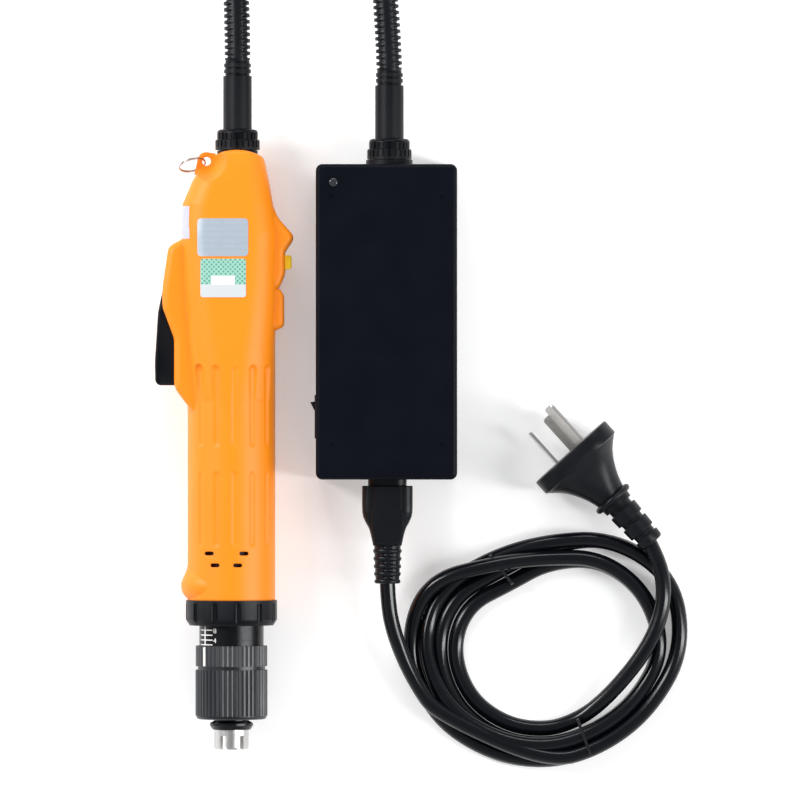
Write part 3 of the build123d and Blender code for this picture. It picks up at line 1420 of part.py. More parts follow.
# Circuit board of the supply with its transformer
BOARD_END = CASE_END_Y + SUPPLY_BOARD_FROM_END
with BuildPart() as supply_board:
    board_plane = Plane(origin=(CASE_X, BOARD_END, SUPPLY_BOARD_Z))
    with BuildSketch(board_plane):
        with Locations((0, SUPPLY_BOARD_L / 2)):
            Rectangle(SUPPLY_BOARD_W, SUPPLY_BOARD_L)
    extrude(amount=BOARD_T)
    with BuildSketch(board_plane.offset(BOARD_T)):
        with Locations((-11, 0.22 * SUPPLY_BOARD_L), (12, 0.78 * SUPPLY_BOARD_L)):
            Circle(6.2)
    extrude(amount=18)
    with BuildSketch(board_plane.offset(BOARD_T)):
        with Locations((16, 0.4 * SUPPLY_BOARD_L), (-16, 0.66 * SUPPLY_BOARD_L)):
            Rectangle(2, 26)
    extrude(amount=16)
write(supply_board, "supply_board")

with BuildPart() as transformer:
    with BuildSketch(board_plane.offset(BOARD_T)):
        with Locations((0, SUPPLY_BOARD_L / 2)):
            Rectangle(TRANSFORMER_W, TRANSFORMER_L)
    extrude(amount=TRANSFORMER_H)
    chamfer(transformer.edges().filter_by(Axis.Z), 2)
write(transformer, "transformer")

# Mains lead: connector with its ringed boot
with BuildPart() as lead_connector:
    with BuildSketch(inlet_plane.offset(-NOSE_INSIDE)):
        RectangleRounded(NOSE_W, NOSE_H, NOSE_CORNER)
    extrude(amount=NOSE_INSIDE + NOSE_NECK)
    with BuildSketch(inlet_plane.offset(NOSE_NECK)):
        RectangleRounded(CONNECTOR_W, CONNECTOR_H, CONNECTOR_CORNER)
    extrude(amount=CONNECTOR_L)
    shoulder = NOSE_NECK + CONNECTOR_L
    # The waist narrows in a soft S from the body to the boot
    waist = []
    for share, narrowing in CONNECTOR_WAIST:
        with BuildSketch(inlet_plane.offset(shoulder + share * CONNECTOR_TAPER_L)) as section:
            RectangleRounded(
                CONNECTOR_W - narrowing * (CONNECTOR_W - CONNECTOR_END_W),
                CONNECTOR_H - narrowing * (CONNECTOR_H - CONNECTOR_END_W),
                CONNECTOR_CORNER,
            )
        waist.append(section.sketch)
    loft(waist, ruled=True)
    # A raised panel on both faces, wider over the waist
    with BuildSketch(inlet_plane.offset(NOSE_NECK)):
        Rectangle(PANEL_W, CONNECTOR_H + 2 * PANEL_PROUD)
    extrude(amount=CONNECTOR_L)
    panel = []
    for share, narrowing in CONNECTOR_WAIST:
        with BuildSketch(inlet_plane.offset(shoulder + share * CONNECTOR_TAPER_L)) as section:
            Rectangle(
                WAIST_PANEL_W - share * (WAIST_PANEL_W - PANEL_END_W),
                CONNECTOR_H - narrowing * (CONNECTOR_H - CONNECTOR_END_W) + 2 * PANEL_PROUD * (1 - share),
            )
        panel.append(section.sketch)
    loft(panel, ruled=True)
    boot_start = shoulder + CONNECTOR_TAPER_L
    ring_step = LEAD_BOOT_L / LEAD_RINGS
    for index in range(LEAD_RINGS):
        share = index / (LEAD_RINGS - 1)
        ring_r = (LEAD_BOOT_D + share * (LEAD_BOOT_END_D - LEAD_BOOT_D)) / 2
        with BuildSketch(inlet_plane.offset(boot_start + index * ring_step)):
            Circle(ring_r - 1.0)
        extrude(amount=ring_step)
        with BuildSketch(inlet_plane.offset(boot_start + (index + 0.3) * ring_step)):
            Circle(ring_r)
        extrude(amount=0.7 * ring_step)
    with BuildSketch(inlet_plane.offset(-NOSE_INSIDE)):
        with Locations(*INLET_PINS):
            Circle(INLET_PIN_D / 2 + RUN)
    extrude(amount=INLET_PIN_L + 1, mode=Mode.SUBTRACT)
write(lead_connector, "lead_connector")

# Mains plug lying on its side, with three flat pins
plug_turn = math.radians(MAINS_PLUG_TURN)
plug_out = (math.cos(plug_turn), math.sin(plug_turn), 0)
plug_across = (math.sin(plug_turn), -math.cos(plug_turn), 0)
plug_face = Plane(
    origin=(MAINS_PLUG_X, MAINS_PLUG_Y, PLUG_FACE_H / 2), x_dir=plug_across, z_dir=plug_out
)
with BuildPart() as mains_plug:
    with BuildSketch(plug_face.offset(-PLUG_RIM_L)):
        RectangleRounded(PLUG_FACE_W, PLUG_FACE_H, PLUG_FACE_CORNER)
    extrude(amount=PLUG_RIM_L)
    fillet(mains_plug.faces().sort_by(Axis(plug_face.origin, plug_out))[0].edges(), PLUG_RIM_ROUND)
    fillet(mains_plug.faces().sort_by(Axis(plug_face.origin, plug_out))[-1].edges(), PLUG_RIM_ROUND)
    # The body narrows in a hollow curve from the rim to the round neck
    bell = []
    for share, left in PLUG_BELL:
        width = PLUG_NECK_D + left * (PLUG_FACE_W - 2 * PLUG_RIM_ROUND - PLUG_NECK_D)
        height = PLUG_NECK_D + left * (PLUG_FACE_H - 2 * PLUG_RIM_ROUND - PLUG_NECK_D)
        with BuildSketch(plug_face.offset(-PLUG_RIM_L - share * PLUG_CONE_L)) as section:
            RectangleRounded(width, height, 0.49 * min(height, 2 * PLUG_FACE_CORNER))
        bell.append(section.sketch)
    loft(bell, ruled=True)
    neck_start = -PLUG_RIM_L - PLUG_CONE_L
    boot_start_y = neck_start - PLUG_RING_L
    boot_end = boot_start_y - MAINS_BOOT_L
    # Bead round the neck, with eased edges
    for start, end, bead_d in (
        (0, 0.2, PLUG_RING_D - 1.0),
        (0.2, 0.8, PLUG_RING_D),
        (0.8, 1.0, PLUG_RING_D - 1.0),
    ):
        with BuildSketch(plug_face.offset(neck_start - end * PLUG_RING_L)):
            Circle(bead_d / 2)
        extrude(amount=(end - start) * PLUG_RING_L)
    core = []
    for reach, core_d in ((boot_start_y, MAINS_BOOT_D), (boot_end, MAINS_BOOT_END_D)):
        with BuildSketch(plug_face.offset(reach)) as section:
            Circle(core_d / 2 - MAINS_SLOT_DEPTH)
        core.append(section.sketch)
    loft(core, ruled=True)
    # Blocks along the boot, with a slot before each
    block_step = MAINS_BOOT_L / MAINS_BLOCKS
    for index in range(MAINS_BLOCKS):
        share = index / (MAINS_BLOCKS - 1)
        block_d = MAINS_BOOT_D + share * (MAINS_BOOT_END_D - MAINS_BOOT_D)
        with BuildSketch(plug_face.offset(boot_start_y - (index + 1) * block_step)):
            Circle(block_d / 2)
        extrude(amount=block_step - MAINS_SLOT_W)
write(mains_plug, "mains_plug")

PIN_SPOTS = (
    (PIN_PITCH_R, EARTH_ANGLE + 120, 90, PIN_L),
    (PIN_PITCH_R, EARTH_ANGLE - 120, 150, PIN_L),
    (EARTH_PITCH_R, EARTH_ANGLE, 120, EARTH_PIN_L),
)
with BuildPart() as plug_pins:
    for pitch_r, angle, blade, length in PIN_SPOTS:
        spot = (pitch_r * math.cos(math.radians(angle)), -pitch_r * math.sin(math.radians(angle)))
        with BuildSketch(plug_face):
            with Locations(Location((*spot, 0), (0, 0, -blade))):
                Rectangle(PIN_W, PIN_T)
        extrude(amount=length)
write(plug_pins, "plug_pins")

# Mains lead: from the connector over the coil's edge, and from the coil to the plug
LEAD_START_Y = CASE_END_Y - boot_start - LEAD_BOOT_L
plug_back = plug_face.offset(boot_end).origin
LEAD_ROUTE = [
    (INLET_X, LEAD_START_Y, CASE_Z),
    (36.8, -70.6, 18.4),
    (39.0, -82.0, 15.4),
    (43.2, -93.5, 11.8),
    (49.0, -104.5, 10.5),
]
PLUG_ROUTE = [
    (plug_back.X, plug_back.Y, plug_back.Z),
    (156.4, -47.6, 17.2),
    (159.6, -56.8, 17.2),
    (160.8, -66.8, 16.2),
    (160.1, -76.8, 13.4),
]
with BuildPart() as lead_cord:
    add(cord_route(LEAD_ROUTE, CORD_D, "mains lead, connector side"))
    add(cord_route(PLUG_ROUTE, CORD_D, "mains lead, plug side"))
write(lead_cord, "lead_cord")

with BuildPart() as lead_coil:
    with BuildSketch(Plane.XY):
        with Locations((COIL_X, COIL_Y)):
            Ellipse(COIL_SEMI_X, COIL_SEMI_Y, rotation=COIL_TURN)
        with Locations((COIL_HOLE_X, COIL_HOLE_Y)):
            Ellipse(COIL_HOLE_SEMI_X, COIL_HOLE_SEMI_Y, rotation=COIL_TURN, mode=Mode.SUBTRACT)
    extrude(amount=COIL_H)
    fillet(lead_coil.faces().sort_by(Axis.Z)[-1].edges(), CORD_D / 2 - 0.2)
write(lead_coil, "lead_coil")
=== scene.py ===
import json
import math

import bmesh
import bpy
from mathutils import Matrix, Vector
from mathutils.bvhtree import BVHTree


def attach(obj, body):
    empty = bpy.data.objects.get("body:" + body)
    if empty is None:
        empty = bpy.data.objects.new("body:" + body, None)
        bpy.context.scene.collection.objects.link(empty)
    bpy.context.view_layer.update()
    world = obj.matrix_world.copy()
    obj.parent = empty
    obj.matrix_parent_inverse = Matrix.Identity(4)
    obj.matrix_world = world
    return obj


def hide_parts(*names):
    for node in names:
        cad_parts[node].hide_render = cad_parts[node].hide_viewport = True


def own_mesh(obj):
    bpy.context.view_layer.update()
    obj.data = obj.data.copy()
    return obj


# Electric torque screwdriver with its supply and cords, dressed for the render.
# Sizes are millimetres in the frame of the solids, and MM turns them into metres.
MM = 0.001
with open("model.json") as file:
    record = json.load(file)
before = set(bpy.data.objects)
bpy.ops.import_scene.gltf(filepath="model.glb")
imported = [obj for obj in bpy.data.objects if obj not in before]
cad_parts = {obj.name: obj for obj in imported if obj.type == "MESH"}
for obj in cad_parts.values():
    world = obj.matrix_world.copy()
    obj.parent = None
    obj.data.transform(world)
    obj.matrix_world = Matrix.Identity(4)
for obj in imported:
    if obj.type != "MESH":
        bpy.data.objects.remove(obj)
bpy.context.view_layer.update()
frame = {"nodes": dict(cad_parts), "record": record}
NODES = frame["nodes"]
ROOT = "driver_and_supply"
LEAD = "mains_lead"
# The driver's axis runs along Y through this place
AXIS_X, AXIS_Z = -33.75, 20.5
UP = Vector((0, 0, 1))

# Places read off the photo, in pixels: the frame's origin and the size of one pixel
PHOTO_X, PHOTO_Y, PIXEL = 306.5, 448.5, 0.45


def photo_x(pixels):
    return (pixels - PHOTO_X) * PIXEL


def photo_y(pixels):
    return (PHOTO_Y - pixels) * PIXEL


def px(x, y, z):
    """A point in millimetres, from its place in the photo and its height."""
    return photo_x(x), photo_y(y), z


def photo_box(x0, y0, x1, y1):
    """A rectangle of the photo in millimetres: left, low, right, high."""
    return photo_x(x0), photo_y(y1), photo_x(x1), photo_y(y0)


def shown(name, data):
    """A new object in the scene."""
    thing = bpy.data.objects.new(name, data)
    bpy.context.scene.collection.objects.link(thing)
    return thing


# Camera over the bench, looking straight down, in metres
SENSOR_WIDTH, SEEN_WIDTH, CAMERA_DISTANCE = 36, 0.360, 4.0
camera_data = bpy.data.cameras.new("camera")
camera_data.type = "PERSP"
camera_data.sensor_fit = "HORIZONTAL"
camera_data.sensor_width = SENSOR_WIDTH
camera_data.clip_start = 0.05
camera_data.clip_end = 20
camera_data.lens = SENSOR_WIDTH * CAMERA_DISTANCE / SEEN_WIDTH
camera = shown("camera", camera_data)
camera.location = (42.07 * MM, 21.8 * MM, 20 * MM + CAMERA_DISTANCE)
camera.rotation_euler = (0, 0, 0)
bpy.context.scene.camera = camera


def nurbs_curve(name, points, resolution):
    """A curve of one smooth open spline that starts and ends at its end points."""
    curve = bpy.data.curves.new(name, "CURVE")
    curve.dimensions = "3D"
    curve.resolution_u = resolution
    spline = curve.splines.new("NURBS")
    spline.points.add(len(points) - 1)
    for place, point in zip(spline.points, points):
        place.co = (point[0] * MM, point[1] * MM, point[2] * MM, 1)
    spline.order_u = 3
    spline.use_endpoint_u = True
    return curve


def nurbs_cord(name, points, diameter, body):
    """A round cord on one smooth spline. Its thickness is the radius of the points."""
    curve = nurbs_curve(name, points, 10)
    curve.bevel_depth = 1
    curve.bevel_resolution = 7
    curve.use_fill_caps = True
    for place in curve.splines[0].points:
        place.radius = diameter / 2 * MM
    thing = shown(name, curve)
    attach(thing, body)
    return thing


def centre_line(points):
    """Points along the smooth line of a route, read from its spline."""
    curve = nurbs_curve("guide", points, 24)
    guide = bpy.data.objects.new("guide", curve)
    mesh = bpy.data.meshes.new_from_object(guide)
    line = [vertex.co.copy() for vertex in mesh.vertices]
    bpy.data.meshes.remove(mesh)
    bpy.data.objects.remove(guide)
    bpy.data.curves.remove(curve)
    return line


def line_length(points):
    """The length in metres of a route's smooth line."""
    line = centre_line(points)
    return sum((b - a).length for a, b in zip(line, line[1:]))


# Mains lead: in from the connector, four turns in two layers, out over the coil to the plug.
# RIM is the coil's outermost strand, from the coil's middle, at each angle.
CORD_WIDTH = 7.0
COIL_X, COIL_Y = 108.7, -90.9
RIM = {
    0: (59.3, 0.0),
    30: (54.8, 31.7),
    60: (28.9, 49.6),
    90: (0.0, 49.0),
    120: (-24.5, 42.2),
    150: (-51.0, 28.6),
    180: (-60.6, 1.0),
    210: (-49.5, -28.6),
    240: (-25.5, -44.2),
    270: (0.0, -47.8),
    300: (23.7, -41.0),
    330: (44.8, -25.9),
}
# The spline runs inside its points, so the points lie this much further out
COIL_SPREAD = 1.035


def coil_point(angle, inward, height):
    """A point of the mains coil, measured inward from the outermost strand."""
    x, y = RIM[angle % 360]
    size = math.hypot(x, y)
    scale = COIL_SPREAD * (size - inward) / size
    return (COIL_X + x * scale, COIL_Y + y * scale, height)


# Each turn's points: angle, way in from the outermost strand, height
LOW, HIGH = 3.6, 10.6
TURNS = (
    ((270, -1.7, HIGH), (300, -1.2, HIGH), (330, 0.0, HIGH), (0, 0.0, HIGH), (30, 0.0, HIGH),
     (60, 1.0, HIGH), (90, 1.6, 10.2), (120, 1.8, 5.4), (150, 4.4, 3.8), (180, 5.4, 6.4), (210, 6.4, 9.2)),
    ((240, 6.1, HIGH), (270, 5.4, HIGH), (300, 5.9, HIGH), (330, 7.1, HIGH), (0, 8.5, HIGH),
     (30, 13.5, HIGH), (60, 11.0, HIGH), (90, 8.7, 10.8), (120, 5.0, 14.0), (150, -2.6, 8.6),
     (180, -1.4, LOW), (210, -0.6, LOW)),
    ((240, -1.0, LOW), (270, -1.7, LOW), (300, -1.2, LOW), (330, 0.0, LOW), (0, 0.0, LOW), (30, 0.0, LOW),
     (60, 0.6, LOW), (90, 3.5, LOW), (120, 8.6, LOW), (150, 11.2, LOW), (180, 11.8, LOW), (210, 9.6, LOW)),
    ((240, 6.2, LOW), (270, 5.4, LOW), (300, 5.9, LOW), (330, 7.1, LOW), (0, 8.5, LOW), (30, 13.5, LOW),
     (60, 11.5, LOW), (90, 11.0, LOW), (120, 15.7, LOW), (150, 18.6, LOW), (180, 18.9, LOW),
     (210, 16.7, LOW)),
)
LEAD_POINTS = [
    (36.4, -60.4, 19.0),
    (36.8, -70.6, 18.4),
    (39.0, -82.0, 16.6),
    (43.8, -95.0, 13.4),
    px(419, 689, 11.6),
    px(437, 714, 10.8),
]
LEAD_POINTS += [coil_point(*place) for turn in TURNS for place in turn]
LEAD_POINTS += [
    coil_point(240, 13.4, LOW),
    coil_point(270, 12.5, 3.8),
    px(582, 719, 5.6),
    px(607, 699, 10.0),
    px(636, 665, 15.6),
    px(654, 636, 17.8),
    px(663, 607, 18.0),
    px(664, 582, 17.8),
    px(657, 556, 17.2),
    (152.56, -39.0, 17.0),
]
lead = nurbs_cord("mains_lead_cord", LEAD_POINTS, CORD_WIDTH, LEAD)
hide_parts("lead_cord", "lead_coil")

# Driver cord: from the driver's boot into a put-away coil, and back to the supply's boot
STORE_X, STORE_Y, STORE_R, STORE_PITCH = 1.6, 266.0, 36.0, 7.2
STORE_FLOOR, TURNS_IN, TURNS_UP = 3.6, 3.0, 0.5
STORE_TURNS = 2 * TURNS_IN + TURNS_UP
STORE_STEPS = 14
# The spline runs at this share of its points' radius
STORE_SHRINK = 0.975


def store_point(turn):
    """A point of the put-away coil: three turns in, half a turn up, three turns out."""
    outer = STORE_R + 1.5 * STORE_PITCH
    rise = min(1, max(0, (turn - TURNS_IN) / TURNS_UP))
    inward = min(turn, TURNS_IN, STORE_TURNS - turn)
    radius = (outer - STORE_PITCH * inward) / STORE_SHRINK
    angle = math.radians(180 - 360 * turn)
    return (
        STORE_X + radius * math.cos(angle),
        STORE_Y + radius * math.sin(angle),
        STORE_FLOOR + STORE_PITCH * rise,
    )


DRIVER_POINTS = [(-32.6, 219.0, 17.2), (-35.6, 234.0, 13.2), (-42.4, 249.0, 7.2)]
DRIVER_POINTS += [store_point(step / STORE_STEPS) for step in range(round(STORE_TURNS * STORE_STEPS) + 1)]
DRIVER_POINTS += [(43.4, 246.5, 13.2), (35.6, 231.0, 17.0), (34.2, 217.0, 18.6)]
cord = nurbs_cord("driver_supply_cord", DRIVER_POINTS, CORD_WIDTH, ROOT)
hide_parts("driver_cord", "cord_coil")

LEAD_LENGTH = line_length(LEAD_POINTS)
CORD_LENGTH = line_length(DRIVER_POINTS)
print("mains lead", round(LEAD_LENGTH, 3), "driver cord", round(CORD_LENGTH, 3))

# Materials. A surface is polished unevenly by POLISH_SPREAD each way, and its grain is GRAIN_DEPTH metres
# deep. Edges wear where Pointiness lies above the first of two values, and wholly above the second.
POLISH_SPREAD, SMOOTHEST, COAT_ROUGHNESS = 0.08, 0.03, 0.12
GRAIN_DEPTH = 0.00012
WORN_FROM, WORN_TO = 0.52, 0.62


def material(name):
    """A new material, its node tree and its shader."""
    made = bpy.data.materials.new(name)
    made.use_nodes = True
    return made, made.node_tree, made.node_tree.nodes["Principled BSDF"]


def add(tree, kind, inputs, **settings):
    """A shader node whose inputs are set to values or linked to other nodes' outputs."""
    made = tree.nodes.new("ShaderNode" + kind)
    for key, value in settings.items():
        setattr(made, key, value)
    for key, value in inputs.items():
        if isinstance(value, bpy.types.NodeSocket):
            tree.links.new(value, made.inputs[key])
        else:
            made.inputs[key].default_value = value
    return made


def mixed(tree, factor, first, second):
    """The colour between two colours."""
    inputs = {"Factor": factor, "A": first, "B": second}
    return add(tree, "Mix", inputs, data_type="RGBA").outputs["Result"]


def shade(color, factor, lift=0.0):
    """A colour made lighter or darker."""
    return (*[min(1, part * factor + lift) for part in color], 1)


def surface(
    name,
    color,
    roughness,
    metallic=0.0,
    grain=0.0,
    grain_scale=2500.0,
    mottle=0.06,
    mottle_scale=60.0,
    soft_edge=0.0,
    stretch=(1, 1, 1),
    coat=0.0,
    specular=0.5,
    wear=0.0,
):
    """A moulded, turned or drawn surface: colour mottling, uneven polish, fine grain and worn edges."""
    made, tree, shader = material(name)
    place = add(tree, "TexCoord", {})
    mapping = add(tree, "Mapping", {"Scale": stretch, "Vector": place.outputs["Object"]})
    where = mapping.outputs["Vector"]
    broad = add(tree, "TexNoise", {"Scale": mottle_scale, "Detail": 4, "Vector": where}).outputs["Fac"]
    paint = mixed(tree, broad, shade(color, 1 - mottle), shade(color, 1 + mottle))
    if wear:
        geometry = add(tree, "NewGeometry", {})
        edge = add(tree, "MapRange", {
            "From Min": WORN_FROM,
            "From Max": WORN_TO,
            "To Max": wear,
            "Value": geometry.outputs["Pointiness"],
        })
        paint = mixed(tree, edge.outputs["Result"], paint, shade(color, 1.5, 0.05))
    tree.links.new(paint, shader.inputs["Base Color"])
    polish = add(tree, "MapRange", {
        "To Min": max(SMOOTHEST, roughness - POLISH_SPREAD),
        "To Max": min(1, roughness + POLISH_SPREAD),
        "Value": broad,
    })
    tree.links.new(polish.outputs["Result"], shader.inputs["Roughness"])
    shader.inputs["Metallic"].default_value = metallic
    shader.inputs["Coat Weight"].default_value = coat
    shader.inputs["Coat Roughness"].default_value = COAT_ROUGHNESS
    shader.inputs["Specular IOR Level"].default_value = specular
    relief = {}
    if soft_edge:
        relief["Normal"] = add(tree, "Bevel", {"Radius": soft_edge}, samples=6).outputs["Normal"]
    if grain:
        fine = add(tree, "TexNoise", {"Scale": grain_scale, "Detail": 2, "Vector": where})
        bump = {"Strength": grain, "Distance": GRAIN_DEPTH, "Height": fine.outputs["Fac"], **relief}
        relief["Normal"] = add(tree, "Bump", bump).outputs["Normal"]
    if relief:
        tree.links.new(relief["Normal"], shader.inputs["Normal"])
    return made


ORANGE = surface("orange_moulding", (0.96, 0.265, 0.008), 0.42, specular=0.3, grain=0.25, mottle=0.03,
                 mottle_scale=25, soft_edge=0.0012)
BLACK = surface("black_moulding", (0.0028, 0.0034, 0.0054), 0.34, specular=0.12, grain=0.35, mottle=0.2,
                grain_scale=1800, wear=0.25)
CASE = surface("black_case", (0.0032, 0.0042, 0.0078), 0.36, specular=0.07, grain=0.55, mottle=0.25,
               grain_scale=1500)
KNURL = surface("black_knurl", (0.0078, 0.0098, 0.0135), 0.34, specular=0.4, grain=0.2, mottle=0.2, wear=0.6)
ANODISED = surface("black_anodised", (0.0055, 0.0062, 0.0078), 0.24, specular=0.3, metallic=0.35, grain=0.15,
                   stretch=(1, 40, 1), mottle=0.25, wear=0.3)
RUBBER = surface("black_rubber", (0.0040, 0.0050, 0.0072), 0.36, specular=0.20, grain=0.3, mottle=0.2,
                 grain_scale=1400)
JACKET = surface("cord_jacket", (0.0028, 0.0035, 0.0054), 0.17, specular=0.30, grain=0.12, mottle=0.2,
                 mottle_scale=120)
YELLOW = surface("yellow_button_glow", (1.0, 0.66, 0.02), 0.32, grain=0.15, mottle=0.04, soft_edge=0.0008)
# The button glows faintly: painted light that brightens it where it lies in the knuckle's shade
yellow_glow_shader = YELLOW.node_tree.nodes["Principled BSDF"]
yellow_glow_shader.inputs["Emission Color"].default_value = (1.0, 0.56, 0.01, 1)
yellow_glow_shader.inputs["Emission Strength"].default_value = 0.25
STEEL = surface("turned_steel", (0.62, 0.62, 0.64), 0.28, metallic=1.0, grain=0.25,
                stretch=(1, 60, 1), mottle=0.08, wear=0.3)
BRIGHT = surface("bright_steel", (0.80, 0.80, 0.82), 0.14, metallic=1.0, grain=0.08, mottle=0.06)
PIN_METAL = surface("nickel_pins", (0.66, 0.65, 0.63), 0.24, metallic=1.0, grain=0.05, mottle=0.02)
SPRING = surface("spring_wire", (0.45, 0.45, 0.47), 0.32, metallic=1.0, grain=0.1, mottle=0.1)
BRASS = surface("bearing_bronze", (0.70, 0.50, 0.22), 0.3, metallic=1.0, grain=0.15, mottle=0.1)
BOARD = surface("board_green", (0.012, 0.12, 0.04), 0.35, grain=0.2, mottle=0.3, mottle_scale=900)
FERRITE = surface("ferrite", (0.05, 0.05, 0.055), 0.6, grain=0.5, mottle=0.2)
COPPER = surface("wound_core", (0.55, 0.26, 0.12), 0.35, metallic=0.8, grain=0.4,
                 stretch=(1, 60, 1), mottle=0.2)
RING_STEEL = surface("ring_steel", (0.50, 0.49, 0.48), 0.24, metallic=1.0, grain=0.1, mottle=0.1)
# The motor can and its end bell are near black, far darker than their steel: painted shade that keeps the
# vents dark inside
CAN_STEEL_PAINTED_SHADE = surface("motor_can_steel_painted_shade", (0.03, 0.03, 0.032), 0.5, metallic=0.6, grain=0.2)
LENS = surface("clear_lens", (0.02, 0.022, 0.028), 0.08, mottle=0.1, coat=0.6)

BY_SLOT = {
    "orange_plastic": ORANGE,
    "black_plastic": BLACK,
    "black_metal": ANODISED,
    "black_rubber": RUBBER,
    "yellow_plastic": YELLOW,
    "steel": STEEL,
    "bright_steel": BRIGHT,
    "spring_steel": SPRING,
    "brass": BRASS,
    "board_green": BOARD,
    "ferrite": FERRITE,
    "copper_core": COPPER,
    "clear_lens": LENS,
    "cord_black": JACKET,
}
CROWN = surface("brushed_crown", (0.58, 0.57, 0.56), 0.34, metallic=1.0, grain=0.2,
                stretch=(1, 1, 60), mottle=0.12)
BY_NODE = {
    "chuck_crown": CROWN,
    "supply_top_case": CASE,
    "supply_base_case": CASE,
    "torque_sleeve": KNURL,
    "index_ring": KNURL,
    "lock_collar": BLACK,
    "plug_pins": PIN_METAL,
    "motor_can": CAN_STEEL_PAINTED_SHADE,
    "motor_end_bell": CAN_STEEL_PAINTED_SHADE,
}
SHARP_ANGLE = math.radians(32)
# The supply's walls stay flat: a face is one of them when its normal lies along an axis
ALONG_AXIS = 0.9999
for row in frame["record"]["subparts"]:
    node = NODES[row["node"]]
    chosen = BY_NODE.get(row["node"], BY_SLOT[row["material_slot"]])
    node.data.materials.clear()
    node.data.materials.append(chosen)
    node.data.shade_smooth()
    node.data.set_sharp_from_angle(angle=SHARP_ANGLE)
    if row["node"] in ("supply_top_case", "supply_base_case"):
        for face in node.data.polygons:
            face.use_smooth = max(abs(part) for part in face.normal) < ALONG_AXIS
lead.data.materials.append(JACKET)
cord.data.materials.append(JACKET)


def piece(name, bm, look, body, smooth=30):
    """Make a mesh object from vertices in metres and let it ride on a body."""
    mesh = bpy.data.meshes.new(name)
    bmesh.ops.recalc_face_normals(bm, faces=bm.faces)
    bm.to_mesh(mesh)
    bm.free()
    thing = shown(name, mesh)
    mesh.materials.append(look)
    mesh.shade_smooth()
    mesh.set_sharp_from_angle(angle=math.radians(smooth))
    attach(thing, body)
    return thing


def skin(bm, rings, closed=True):
    """Faces from each ring of corners to the next, and over both ends."""
    for low, high in zip(rings, rings[1:]):
        for step in range(len(low)):
            nxt = (step + 1) % len(low)
            bm.faces.new((low[step], low[nxt], high[nxt], high[step]))
    if closed:
        bm.faces.new(list(reversed(rings[0])))
        bm.faces.new(rings[-1])


def thicken(bm, thick):
    """Give the faces so far a thickness, upward."""
    solid = bmesh.ops.extrude_face_region(bm, geom=bm.faces[:])
    for element in solid["geom"]:
        if isinstance(element, bmesh.types.BMVert):
            element.co.z += thick * MM


def along_table(table, y, column):
    """A value read between the rows of a table by its first column."""
    for low, high in zip(table, table[1:]):
        if y <= high[0]:
            share = max(0, (y - low[0]) / (high[0] - low[0]))
            return low[column] + share * (high[column] - low[column])
    return table[-1][column]


def boot_tube(name, line, stations, radius_at, body, around, smooth):
    """A round rubber tube along a line, whose radius depends on the way along and the angle round it."""
    reached = [0.0]
    for start, end in zip(line, line[1:]):
        reached.append(reached[-1] + (end - start).length)
    total = reached[-1] / MM
    bm = bmesh.new()
    rings = []
    for station in stations(total):
        want = station * MM
        index = 1
        while index < len(line) - 1 and reached[index] < want:
            index += 1
        start, end = line[index - 1], line[index]
        span = max(1e-9, reached[index] - reached[index - 1])
        centre = start.lerp(end, min(1, max(0, (want - reached[index - 1]) / span)))
        along = (end - start).normalized()
        side = along.cross(UP).normalized()
        rise = side.cross(along).normalized()
        ring = []
        for step in range(around):
            angle = 2 * math.pi * step / around
            radius = radius_at(station, angle, total) * MM
            ring.append(bm.verts.new(centre + (side * math.cos(angle) + rise * math.sin(angle)) * radius))
        rings.append(ring)
    skin(bm, rings)
    return piece(name, bm, RUBBER, body, smooth)


# Connector of the mains lead: body, soft waist with a raised panel, ringed boot with studs.
# WAIST holds the photo's line with the width and height there, PANEL half the panel's width.
CONNECTOR_X, CONNECTOR_Z = 36.4, 19.0
WAIST = (
    (486.0, 22.6, 16.8), (486.6, 22.8, 17.0), (505.0, 22.8, 17.0), (512.0, 22.6, 16.8),
    (516.9, 21.8, 16.0), (522.0, 19.8, 15.0), (527.4, 17.0, 14.2), (532.0, 15.6, 13.8),
    (537.0, 14.5, 13.4), (542.0, 13.5, 13.1), (545.6, 13.0, 13.0),
)
PANEL = ((486.0, 6.0), (510.0, 6.0), (514.0, 7.0), (530.0, 6.4), (545.6, 5.2))
PANEL_START, PANEL_END, PANEL_RISE, PANEL_SLOPE = 486.5, 543, 0.6, 0.55
BODY_START, BODY_END, BODY_CORNER = WAIST[0][0], WAIST[-1][0], 3.6
# Rows of the connector's body lie close where its shape turns, and apart elsewhere
CLOSE_ROWS, WIDE_ROWS = 0.55, 1.4
# The part in the inlet: width, height, corner, half a panel's width and its rise
TONGUE_START, TONGUE_END, TONGUE = 479.4, 485.8, (17.4, 12.4, 4.4, 2.0, 0.0)
BODY_BACK = (12.8, 12.8, 3.4, 1.6, 0.0)
CORNER_STEPS = 6


def panelled_section(width, height, corner, panel, proud):
    """A rounded rectangle with a raised strip on its upper and lower sides."""
    half = []
    for turn in range(CORNER_STEPS + 1):
        angle = math.radians(90 * turn / CORNER_STEPS)
        half.append((
            width / 2 - corner + corner * math.cos(angle),
            height / 2 - corner + corner * math.sin(angle),
        ))
    half += [(panel + PANEL_SLOPE, height / 2), (panel, height / 2 + proud), (0, height / 2 + proud)]
    upper = half + [(-x, z) for x, z in reversed(half[:-1])]
    return upper + [(-x, -z) for x, z in upper]


